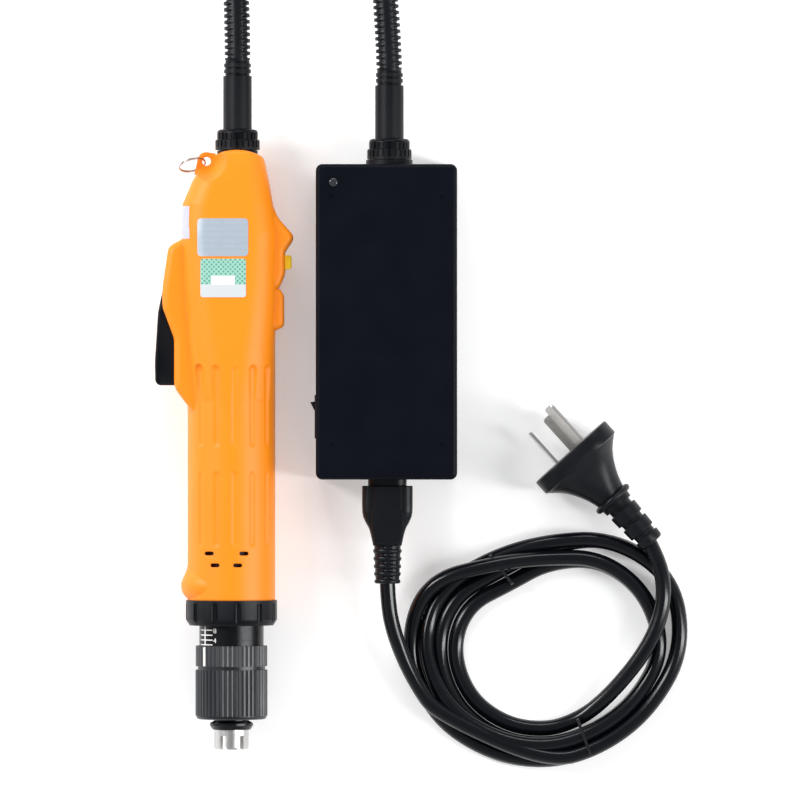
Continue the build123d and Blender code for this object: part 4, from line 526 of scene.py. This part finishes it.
def connector_body():
    rows = [(TONGUE_START, *TONGUE), (TONGUE_END, *TONGUE)]
    y = BODY_START
    while y < BODY_END:
        width, height = along_table(WAIST, y, 1), along_table(WAIST, y, 2)
        proud = PANEL_RISE if PANEL_START < y < PANEL_END else 0.0
        rows.append((y, width, height, BODY_CORNER, along_table(PANEL, y, 1), proud))
        y += CLOSE_ROWS if y < 488 or 508 < y < 516 else WIDE_ROWS
    rows.append((BODY_END, *BODY_BACK))
    bm = bmesh.new()
    rings = [
        [bm.verts.new(Vector((CONNECTOR_X + x, photo_y(y), CONNECTOR_Z + z)) * MM)
         for x, z in panelled_section(*section)]
        for y, *section in rows
    ]
    skin(bm, rings)
    return piece("connector_body", bm, RUBBER, LEAD, smooth=28)


BOOT_RINGS, BOOT_LENGTH = 5, 17.1
BOOT_START_R, BOOT_TAPER, BOOT_END_STEP = 6.6, 0.7, 0.7
# Each ring's rows, as shares of the way from one ring to the next: the first half is a hollow
RING_ROWS = (0.0, 0.05, 0.16, 0.24, 0.32, 0.44, 0.52, 0.60, 0.75, 0.90)
HOLLOW_DEPTH, HOLLOW_LIP, STUD_DEPTH, RING_ROUNDING = 0.62, 0.40, 0.12, 0.22
STUD_INNER, STUD_OUTER = 1.1, 2.5


def ring_stations(total):
    step = total / BOOT_RINGS
    found = [index * step + part * step for index in range(BOOT_RINGS) for part in RING_ROWS]
    return found + [total - 0.01, total]


def ring_radius(station, angle, total):
    """Five soft rings, with two small studs in each hollow on the upper and lower sides."""
    full = BOOT_START_R - BOOT_TAPER * station / total
    part = (station / total * BOOT_RINGS) % 1.0
    if station > total - 0.05:
        return full - BOOT_END_STEP
    if part < 0.5:
        stud = 0.12 < part < 0.36 and STUD_INNER < abs(full * math.cos(angle)) < STUD_OUTER
        hollow = HOLLOW_DEPTH if 0.04 < part < 0.46 else HOLLOW_LIP
        return full - (STUD_DEPTH if stud else hollow)
    return full - RING_ROUNDING * abs(part - 0.74) / 0.24


# Split ring in the ear's hole: wire, radius, how far the two turns lie apart, points in a turn.
# It starts at SPLIT_START degrees, and crosses to its second turn about the end of the first.
EAR_HOLE = Vector((-45.0, 129.2, 20.5))
WIRE, SPLIT_RADIUS, SPLIT_GAP, SPLIT_STEPS = 0.56, 5.98, 0.60, 28
SPLIT_START, CROSS_FROM, CROSS_LENGTH = 200, 0.92, 0.16
INTO_EAR = 0.25


def split_ring():
    """Two close turns of spring wire through the ear, in the plane of the modelled ring."""
    verts = [v.co.copy() for v in NODES["hang_ring"].data.vertices]
    centre = sum(verts, Vector()) / len(verts)
    out = (EAR_HOLE * MM - centre).normalized()
    far = max(verts, key=lambda v: (v - centre).cross(out).length)
    normal = out.cross(far - centre).normalized()
    centre -= out * INTO_EAR * MM
    across = normal.cross(out).normalized()
    points = []
    for step in range(2 * SPLIT_STEPS + 1):
        turn = step / SPLIT_STEPS
        offset = SPLIT_GAP * (min(1, max(0, (turn - CROSS_FROM) / CROSS_LENGTH)) - 0.5)
        angle = 2 * math.pi * turn + math.radians(SPLIT_START)
        spoke = out * math.cos(angle) + across * math.sin(angle)
        points.append(tuple(centre / MM + SPLIT_RADIUS * spoke + normal * offset))
    ring = nurbs_cord("split_ring", points, WIRE, "ring")
    ring.data.materials.append(RING_STEEL)
    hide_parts("hang_ring")


connector = connector_body()
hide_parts("lead_connector")
boot_y = photo_y(BODY_END)
connector_boot = boot_tube(
    "connector_boot",
    [Vector((CONNECTOR_X, y, CONNECTOR_Z)) * MM for y in (boot_y, boot_y - BOOT_LENGTH)],
    ring_stations,
    ring_radius,
    LEAD,
    around=64,
    smooth=30,
)
split_ring()


# Springs copied from the solids, each riding on the seat behind it
def squashed_spring(node_name, name, body):
    node = NODES[node_name]
    bm = bmesh.new()
    bm.from_mesh(node.data)
    bm.transform(node.matrix_world)
    spring = piece(name, bm, SPRING, body, smooth=40)
    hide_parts(node_name)
    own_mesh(spring)


squashed_spring("torque_spring", "torque_coil", "torque_seat")
squashed_spring("collar_spring", "collar_coil", "chuck_sleeve")

# Mains plug: rim, bell-shaped body, bead and slotted boot, and three flat pins with round ends.
# PLUG_OUT points the way of the pins.
PLUG_CENTRE = Vector((118.7, -1.4, 17.0))
PLUG_OUT = Vector((math.cos(math.radians(132)), math.sin(math.radians(132)), 0))
PLUG_ACROSS = Vector((PLUG_OUT.y, -PLUG_OUT.x, 0))
# Rows of the rim: way back from the face, width, height, corner
PLUG_RIM = (
    (0, 40.6, 32.8, 12.4), (0.18, 41.4, 33.6, 12.8), (0.6, 41.8, 34.0, 13.0),
    (6.5, 41.8, 34.0, 13.0), (6.92, 41.4, 33.6, 12.8), (7.1, 40.6, 32.8, 12.4),
)
# The bell narrows from its rim to its neck as BELL says: share of its length, share of the width left
BELL_WIDTH, BELL_HEIGHT, BELL_CORNER, NECK = 40.2, 32.4, 13, 15.0
BELL_START, BELL_LENGTH, BELL_ROWS = 7.15, 20.0, 32
BELL = ((0, 1), (0.06, 0.89), (0.12, 0.78), (0.18, 0.68), (0.24, 0.59), (0.34, 0.465), (0.45, 0.355),
        (0.58, 0.24), (0.72, 0.14), (0.86, 0.06), (1, 0))
# The round boot behind it: way back from the face, radius
BOOT_PROFILE = (
    (27.2, 7.6), (27.35, 8.6), (27.9, 9.3), (28.7, 9.55), (29.5, 9.3), (30.1, 8.6), (30.3, 7.3),
    (32.6, 7.1), (32.8, 6.9), (32.85, 5.7), (35.15, 5.6), (35.2, 6.7), (35.5, 6.95), (40.4, 6.75),
    (40.7, 6.5), (40.75, 5.4), (42.95, 5.3), (43.0, 6.3), (43.3, 6.55), (48.3, 6.3), (48.6, 6.05),
    (48.65, 5.1), (51.15, 5.0), (51.2, 5.8), (51.5, 6.05), (54.2, 5.85), (55.0, 5.5), (55.4, 4.9),
    (55.45, 3.7),
)
# Corners stay just under half the height in the bell, and just under the radius in the boot
BELL_ROUND, BOOT_ROUND = 0.4995, 0.9995
SECTION_STEPS = 12


def plug_point(across, up, out):
    """A point of the plug in metres, measured from the middle of its face."""
    return (PLUG_CENTRE + PLUG_ACROSS * across + UP * up + PLUG_OUT * out) * MM


def round_section(width, height, corner):
    """A rounded rectangle about the plug's axis."""
    points = []
    for quarter, (side, rise) in enumerate(((1, 1), (-1, 1), (-1, -1), (1, -1))):
        for turn in range(SECTION_STEPS + 1):
            angle = math.radians(90 * quarter + 90 * turn / SECTION_STEPS)
            points.append((
                side * (width / 2 - corner) + corner * math.cos(angle),
                rise * (height / 2 - corner) + corner * math.sin(angle),
            ))
    return points


def plug_body():
    rows = list(PLUG_RIM)
    for step in range(BELL_ROWS + 1):
        share = step / BELL_ROWS
        left = along_table(BELL, share, 1)
        width, height = NECK + left * (BELL_WIDTH - NECK), NECK + left * (BELL_HEIGHT - NECK)
        corner = min(BELL_CORNER * left + NECK / 2 * (1 - left), BELL_ROUND * height)
        rows.append((BELL_START + share * BELL_LENGTH, width, height, corner))
    rows += [(reach, 2 * radius, 2 * radius, BOOT_ROUND * radius) for reach, radius in BOOT_PROFILE]
    bm = bmesh.new()
    rings = [
        [bm.verts.new(plug_point(x, z, -reach)) for x, z in round_section(*section)]
        for reach, *section in rows
    ]
    skin(bm, rings)
    return piece("plug_body", bm, RUBBER, LEAD, smooth=36)


# Pins: distance from the face's middle, direction, direction of the blade's width, length
PINS_TURN = 54
PINS = (
    (7.92, PINS_TURN + 120, PINS_TURN + 30, 18.6),
    (7.92, PINS_TURN - 120, PINS_TURN - 30, 18.6),
    (10.31, PINS_TURN, PINS_TURN, 21.9),
)
PIN_HALF_WIDTH, PIN_CORNER, PIN_ROOT, PIN_INSET = 3.17, 1.6, -1.0, 0.25
PIN_LAYERS = ((-0.8, PIN_INSET), (-0.55, 0.0), (0.55, 0.0), (0.8, PIN_INSET))


def direction(degrees):
    """A way across the plug's face."""
    return Vector((math.cos(math.radians(degrees)), math.sin(math.radians(degrees))))


def flat_pins():
    bm = bmesh.new()
    for radius, angle, blade, length in PINS:
        wide = direction(blade)
        thin = Vector((-wide.y, wide.x))
        spot = direction(angle) * radius
        side, tip = PIN_HALF_WIDTH - PIN_CORNER, length - PIN_CORNER
        outline = [(PIN_HALF_WIDTH, PIN_ROOT), (PIN_HALF_WIDTH, tip)]
        for turn in range(1, 7):
            corner = math.radians(15 * turn)
            outline.append((side + PIN_CORNER * math.cos(corner), tip + PIN_CORNER * math.sin(corner)))
        outline += [(-x, y) for x, y in reversed(outline)]
        rings = []
        for offset, inset in PIN_LAYERS:
            ring = []
            for x, y in outline:
                place = spot + wide * (x - math.copysign(inset, x)) + thin * offset
                ring.append(bm.verts.new(plug_point(place.x, place.y, min(y, length - inset))))
            rings.append(ring)
        skin(bm, rings)
    return piece("flat_pins", bm, PIN_METAL, LEAD, smooth=32)


plug, pins = plug_body(), flat_pins()
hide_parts("mains_plug")
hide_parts("plug_pins")

# Strain-relief boots of the driver cord: smooth spine at front and back, slots on the sides.
# A boot has a slot each SLOT_PITCH after its plain root, and a plain tip.
SLOT_PITCH, PLAIN_ROOT, PLAIN_ENDS = 2.83, 1.4, 5.0
BOOT_RADIUS, ROOT_STEP, TIP_LENGTH, TIP_STEP = 5.85, 0.5, 2.0, 0.9
# It tapers from this share of its length
TAPER_FROM, TAPER = 0.55, 1.0
SLOT_DEPTH, SLOT_LIP = 1.3, 0.25
# A slot runs out where the sine of the angle from the side comes to SPINE_EDGE
SPINE_EDGE, SPINE_FADE = 0.93, 0.10
BOOT_PATHS = {
    "driver_boot": [(-31.05, 174.1, 20.5), (-31.0, 196.0, 20.4), (-32.6, 219.0, 17.2)],
    "supply_boot": [(37.3, 169.7, 19.0), (36.6, 192.0, 19.0), (34.2, 217.0, 18.6)],
}


def slot_count(total):
    return int((total - PLAIN_ENDS) / SLOT_PITCH)


def boot_stations(total):
    found = [0.0]
    for index in range(slot_count(total)):
        start = PLAIN_ROOT + index * SLOT_PITCH
        found += [start, start + 0.15, start + 0.35, start + 1.25, start + 1.45, start + 1.6]
    found += [total - 2.2, total - 0.8, total]
    return found


def boot_radius(station, angle, total):
    full = BOOT_RADIUS - TAPER * max(0, station / total - TAPER_FROM)
    if station >= total - TIP_LENGTH:
        return full - TIP_STEP * (station - total + TIP_LENGTH) / TIP_LENGTH
    if station <= 0.01:
        return full - ROOT_STEP
    index = (station - PLAIN_ROOT) / SLOT_PITCH
    inside = (index - math.floor(index)) * SLOT_PITCH
    depth = 0.0
    if 0.10 < inside < 1.5 and index < slot_count(total):
        depth = SLOT_DEPTH if 0.3 < inside < 1.3 else SLOT_LIP
    fade = min(1, max(0, (SPINE_EDGE - abs(math.sin(angle))) / SPINE_FADE))
    return full - depth * fade


for node_name, route in BOOT_PATHS.items():
    boot = boot_tube(
        node_name + "_ribbed", centre_line(route), boot_stations, boot_radius, ROOT, around=48, smooth=35
    )
    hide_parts(node_name)

# Ties on the mains coil and on the put-away coil: flat bands round a bundle two strands high
BUNDLE_TALL, BUNDLE_MIDDLE, STRAND_R, TIE_LOWEST = 7.6, 7.1, 3.4, 0.25
TIE_INSIDE, TIE_OUTSIDE = 0.25, 0.9
TIE_STEPS = 6


def tie(name, centre, along, width, wide, body):
    """A flat band wound once round a bundle of cords that runs along a direction."""
    bm = bmesh.new()
    along = Vector(along).normalized()
    side = Vector((-along.y, along.x, 0))
    outline = []
    for quarter, (right, top) in enumerate(((1, 1), (-1, 1), (-1, -1), (1, -1))):
        for step in range(TIE_STEPS + 1):
            angle = math.radians(90 * quarter + 90 * step / TIE_STEPS)
            outline.append((
                right * wide / 2 + STRAND_R * math.cos(angle),
                top * BUNDLE_TALL / 2 + STRAND_R * math.sin(angle),
            ))
    rings = []
    for end, grow in ((-1, TIE_INSIDE), (-1, TIE_OUTSIDE), (1, TIE_OUTSIDE), (1, TIE_INSIDE)):
        ring = []
        for s, z in outline:
            scale = 1 + grow / math.hypot(s, z)
            point = Vector(centre) + along * end * width / 2 + side * s * scale + UP * z * scale
            point.z = max(point.z, TIE_LOWEST)
            ring.append(bm.verts.new(point * MM))
        rings.append(ring)
    skin(bm, rings + rings[:1], closed=False)
    return piece(name, bm, BLACK, body, smooth=50)


ties = [
    tie("lead_tie_upper", px(501.5, 570, BUNDLE_MIDDLE), (-0.79, -0.60, 0), 1.3, 8.4, LEAD),
    tie("lead_tie_lower", px(584.5, 738, BUNDLE_MIDDLE), (0.94, 0.34, 0), 1.3, 9.6, LEAD),
    tie("cord_tie_near", (STORE_X, STORE_Y - STORE_R + 1.8, 7.2), (1, 0, 0), 3.0, 14.6, ROOT),
    tie("cord_tie_far", (STORE_X, STORE_Y + STORE_R - 0.9, 7.2), (1, 0, 0), 3.0, 20.0, ROOT),
]

# Labels that lie on the front shell, found by looking at it from outside
front_mesh = NODES["housing_front"].data
FRONT_TREE = BVHTree.FromPolygons(
    [vertex.co.copy() for vertex in front_mesh.vertices],
    [list(polygon.vertices) for polygon in front_mesh.polygons],
)
LABEL_LIFT, SIDE_LIFT, LABEL_THICK, LABEL_GRID = 0.12, 0.10, 0.08, 1.0
# Rays towards the shell start this high, and from the side this far from the axis, in metres
LOOK_FROM, LOOK_FROM_SIDE = 0.1, 0.06


def rounded_outline(x0, y0, x1, y1, corner, steps=6):
    """A label's outline with rounded corners."""
    points = []
    for cx, cy, start in (
        (x1 - corner, y1 - corner, 0),
        (x0 + corner, y1 - corner, 90),
        (x0 + corner, y0 + corner, 180),
        (x1 - corner, y0 + corner, 270),
    ):
        for step in range(steps + 1):
            angle = math.radians(start + 90 * step / steps)
            points.append((cx + corner * math.cos(angle), cy + corner * math.sin(angle)))
    return points


def cut_up(bm, axis, places):
    """Cut the faces at right angles to X or Y, so that they can bend."""
    normal = Vector((1, 0, 0)) if axis == 0 else Vector((0, 1, 0))
    for place in places:
        geometry = bm.verts[:] + bm.edges[:] + bm.faces[:]
        bmesh.ops.bisect_plane(bm, geom=geometry, plane_co=normal * place, plane_no=normal)


def lay_on(name, outline, look):
    """A thin sticker with a given outline in millimetres, laid down on the front shell."""
    bm = bmesh.new()
    bm.faces.new([bm.verts.new((x, y, 0)) for x, y in outline])
    for axis in (0, 1):
        reach = [corner[axis] for corner in outline]
        first, last = int(min(reach) / LABEL_GRID), int(max(reach) / LABEL_GRID)
        cut_up(bm, axis, [value * LABEL_GRID for value in range(first, last + 1)])
    for vert in bm.verts:
        spot, normal, _, _ = FRONT_TREE.ray_cast(Vector((vert.co.x * MM, vert.co.y * MM, LOOK_FROM)), -UP)
        vert.co = spot + normal * LABEL_LIFT * MM
    thicken(bm, LABEL_THICK)
    return piece(name, bm, look, ROOT, smooth=40)


# Half a ruled line's thickness; how fine the lattice's waves are, and the level above which they are pale
HALF_RULE, LATTICE_SCALE, PALE_LEVEL = 0.07, 210, 0.72
# A Y far below the label
FAR_BELOW = -500


def combine(tree, operation, first, second):
    """The result of a sum on two values or outputs."""
    return add(tree, "Math", {0: first, 1: second}, operation=operation).outputs[0]


def band(tree, place, axis, low, high):
    """1 where a coordinate lies between two values, and 0 elsewhere."""
    split = add(tree, "SeparateXYZ", {"Vector": place})
    above = combine(tree, "GREATER_THAN", split.outputs[axis], low * MM)
    below = combine(tree, "LESS_THAN", split.outputs[axis], high * MM)
    return combine(tree, "MULTIPLY", above, below)


def ruled_lines(tree, place, color):
    """Five thin ruled lines across the plate."""
    left, low, right, high = photo_box(199.5, 220.0, 247.6, 256.2)
    inside = band(tree, place, "X", left, right)
    for index in range(1, 6):
        y = low + (high - low) * index / 6
        rule = band(tree, place, "Y", y - HALF_RULE, y + HALF_RULE)
        color = mixed(tree, combine(tree, "MULTIPLY", rule, inside), color, (0.30, 0.38, 0.44, 1))
    return color


def lattice_and_fields(tree, place, color):
    """A lattice of pale lines, a plain pale field below it and a small plain box on its lower edge."""
    for turn in (45, -45):
        mapping = add(tree, "Mapping", {"Rotation": (0, 0, math.radians(turn)), "Vector": place})
        wave = add(tree, "TexWave", {"Scale": LATTICE_SCALE, "Vector": mapping.outputs["Vector"]})
        line = combine(tree, "GREATER_THAN", wave.outputs["Fac"], PALE_LEVEL)
        color = mixed(tree, line, color, (0.36, 0.60, 0.52, 1))
    field = band(tree, place, "Y", FAR_BELOW, photo_y(285.0))
    color = mixed(tree, field, color, (0.60, 0.64, 0.66, 1))
    left, low, right, high = photo_box(212.0, 276.3, 235.7, 285.5)
    box = combine(tree, "MULTIPLY", band(tree, place, "X", left, right), band(tree, place, "Y", low, high))
    return mixed(tree, box, color, (0.80, 0.84, 0.82, 1))


def label_material(name, dark, light, roughness, metallic=0.0, printed=None):
    """A label's faintly mottled face, with what is printed on it and no writing."""
    made, tree, shader = material(name)
    place = add(tree, "TexCoord", {}).outputs["Object"]
    noise = add(tree, "TexNoise", {"Scale": 300, "Detail": 3, "Vector": place})
    color = mixed(tree, noise.outputs["Fac"], (*dark, 1), (*light, 1))
    if printed:
        color = printed(tree, place, color)
    tree.links.new(color, shader.inputs["Base Color"])
    shader.inputs["Roughness"].default_value = roughness
    shader.inputs["Metallic"].default_value = metallic
    return made


PLATE = label_material("label_plate", (0.38, 0.44, 0.51), (0.44, 0.50, 0.57), 0.32, 0.15, ruled_lines)
LATTICE = label_material("label_lattice", (0.08, 0.33, 0.23), (0.14, 0.43, 0.33), 0.26,
                         printed=lattice_and_fields)
PAPER = label_material("label_paper", (0.50, 0.50, 0.60), (0.57, 0.57, 0.67), 0.4)

lay_on("label_upper", rounded_outline(*photo_box(198.3, 219.2, 248.9, 257.0), 1.8), PLATE)
lay_on("label_lower", rounded_outline(*photo_box(201.4, 259.4, 246.7, 297.8), 1.2), LATTICE)


def wrap_side(name, x_edge, y_low, y_high, last_angle, look, rows=14, columns=12):
    """A paper label that starts at a given X on the front and wraps round to the side."""
    def touch(angle, y):
        ray = Vector((math.cos(math.radians(angle)), 0, math.sin(math.radians(angle))))
        start = Vector((AXIS_X * MM, y * MM, AXIS_Z * MM)) + ray * LOOK_FROM_SIDE
        hit = FRONT_TREE.ray_cast(start, -ray)
        return hit[0] + hit[1] * SIDE_LIFT * MM

    bm = bmesh.new()
    grid = []
    for row in range(rows + 1):
        y = y_low + (y_high - y_low) * row / rows
        first = next(a for a in range(100, 170) if touch(a, y).x < x_edge * MM)
        grid.append([
            bm.verts.new(touch(first + (last_angle - first) * column / columns, y))
            for column in range(columns + 1)
        ])
    for low, high in zip(grid, grid[1:]):
        for column in range(columns):
            bm.faces.new((low[column], low[column + 1], high[column + 1], high[column]))
    bmesh.ops.recalc_face_normals(bm, faces=bm.faces)
    bmesh.ops.solidify(bm, geom=bm.faces[:], thickness=LABEL_THICK * MM)
    return piece(name, bm, look, ROOT, smooth=40)


wrap_side("label_side", photo_x(190.2), photo_y(239.3), photo_y(206.8), 174, PAPER)

# Scale on the tube: white lines, an upright line, two plain numerals and the index mark
WHITE = surface("white_paint", (0.82, 0.82, 0.80), 0.5, mottle=0.05, grain=0.1)
SCALE_R, INDEX_R, PAINT_THICK = 14.5, 16.15, 0.06
STRIP_STEPS = 8


def on_tube(x, radius):
    """The height of a round face about the driver's axis at a given X from the axis."""
    return AXIS_Z + math.sqrt(max(0, radius**2 - x**2))


def bent_strip(name, box, radius, body):
    """A painted strip on a round face about the driver's axis, from its rectangle in the photo."""
    left, low, right, high = photo_box(*box)
    bm = bmesh.new()
    rows = []
    for y in (low, high):
        row = []
        for step in range(STRIP_STEPS + 1):
            x = left + (right - left) * step / STRIP_STEPS
            row.append(bm.verts.new(Vector((x, y, on_tube(x - AXIS_X, radius))) * MM))
        rows.append(row)
    for step in range(STRIP_STEPS):
        bm.faces.new((rows[0][step], rows[0][step + 1], rows[1][step + 1], rows[1][step]))
    thicken(bm, PAINT_THICK)
    return piece(name, bm, WHITE, body, smooth=40)


for index, line_y in enumerate((629.6, 634.6, 639.5, 644.2)):
    bent_strip(f"scale_line_{index + 1}", (201, line_y - 0.55, 213, line_y + 0.55), SCALE_R, ROOT)
bent_strip("scale_upright", (204.9, 626.0, 206.1, 645.0), SCALE_R, ROOT)
bent_strip("index_mark", (203.7, 646.5, 205.9, 665.5), INDEX_R, "torque_ring")

NUMERAL_SIZE, NUMERAL_CUT = 3.1, 0.2


def numeral(text, x, y):
    """A flat plain numeral bent round the tube at a place in the photo."""
    letters = bpy.data.curves.new("numeral_" + text, "FONT")
    letters.body = text
    letters.size = NUMERAL_SIZE * MM
    letters.align_x = "CENTER"
    letters.align_y = "CENTER"
    holder = shown("numeral_holder", letters)
    bpy.context.view_layer.update()
    mesh = bpy.data.meshes.new_from_object(holder.evaluated_get(bpy.context.evaluated_depsgraph_get()))
    bpy.data.objects.remove(holder)
    bm = bmesh.new()
    bm.from_mesh(mesh)
    bpy.data.meshes.remove(mesh)
    cut_up(bm, 0, [cut * NUMERAL_CUT * MM for cut in range(-8, 9)])
    for vertex in bm.verts:
        flat_x = vertex.co.x / MM + photo_x(x) - AXIS_X
        height = on_tube(flat_x, SCALE_R) + PAINT_THICK
        vertex.co = Vector((flat_x + AXIS_X, vertex.co.y / MM + photo_y(y), height)) * MM
    piece("scale_numeral_" + text, bm, WHITE, ROOT)


numeral("8", 215.4, 630.6)
numeral("4", 215.4, 640.2)

# Floor
floor_mesh = bpy.data.meshes.new("floor")
floor_bm = bmesh.new()
bmesh.ops.create_grid(floor_bm, x_segments=1, y_segments=1, size=3.0)
floor_bm.to_mesh(floor_mesh)
floor_bm.free()
floor = shown("floor", floor_mesh)
floor.location = (0.04, 0.02, -0.0002)
floor_look, floor_tree, floor_shader = material("floor_paper")
floor_noise = add(floor_tree, "TexNoise", {"Scale": 4})
floor_color = mixed(floor_tree, floor_noise.outputs["Fac"], (0.84, 0.84, 0.84, 1), (0.87, 0.87, 0.87, 1))
floor_tree.links.new(floor_color, floor_shader.inputs["Base Color"])
floor_shader.inputs["Roughness"].default_value = 0.8
floor_shader.inputs["Emission Color"].default_value = (1, 1, 1, 1)
floor_shader.inputs["Emission Strength"].default_value = 0.32
floor_mesh.materials.append(floor_look)

# A bright band all round and a darker patch overhead, so that flat black faces stay black
world = bpy.data.worlds.new("studio")
bpy.context.scene.world = world
world.use_nodes = True
sky = world.node_tree.nodes["Background"]
sky_place = add(world.node_tree, "TexCoord", {})
sky_split = add(world.node_tree, "SeparateXYZ", {"Vector": sky_place.outputs["Generated"]})
sky_ramp = add(
    world.node_tree,
    "MapRange",
    {"From Min": 0.62, "From Max": 0.86, "To Min": 0.60, "To Max": 0.30, "Value": sky_split.outputs["Z"]},
    interpolation_type="SMOOTHSTEP",
)
world.node_tree.links.new(sky_ramp.outputs["Result"], sky.inputs["Strength"])
sky.inputs["Color"].default_value = (0.98, 0.99, 1, 1)


def lamp(name, place, size, power):
    """A soft lamp, aimed at the object."""
    light = bpy.data.lights.new(name, "AREA")
    light.shape = "RECTANGLE"
    light.size, light.size_y = size
    light.energy = power
    thing = shown(name, light)
    thing.location = place
    aim = Vector((0.04, 0.0, 0.0)) - Vector(place)
    thing.rotation_euler = aim.to_track_quat("-Z", "Y").to_euler()


# Metres and watts
lamp("key_left", (-1.15, 0.55, 0.90), (0.28, 1.2), 19)
lamp("fill_right", (1.20, -0.20, 0.85), (0.22, 1.2), 15)
lamp("top_soft", (0.05, 1.3, 0.9), (1.2, 0.30), 7)

bpy.context.scene.view_settings.view_transform = "Standard"
bpy.context.scene.view_settings.look = "None"

bpy.context.view_layer.update()
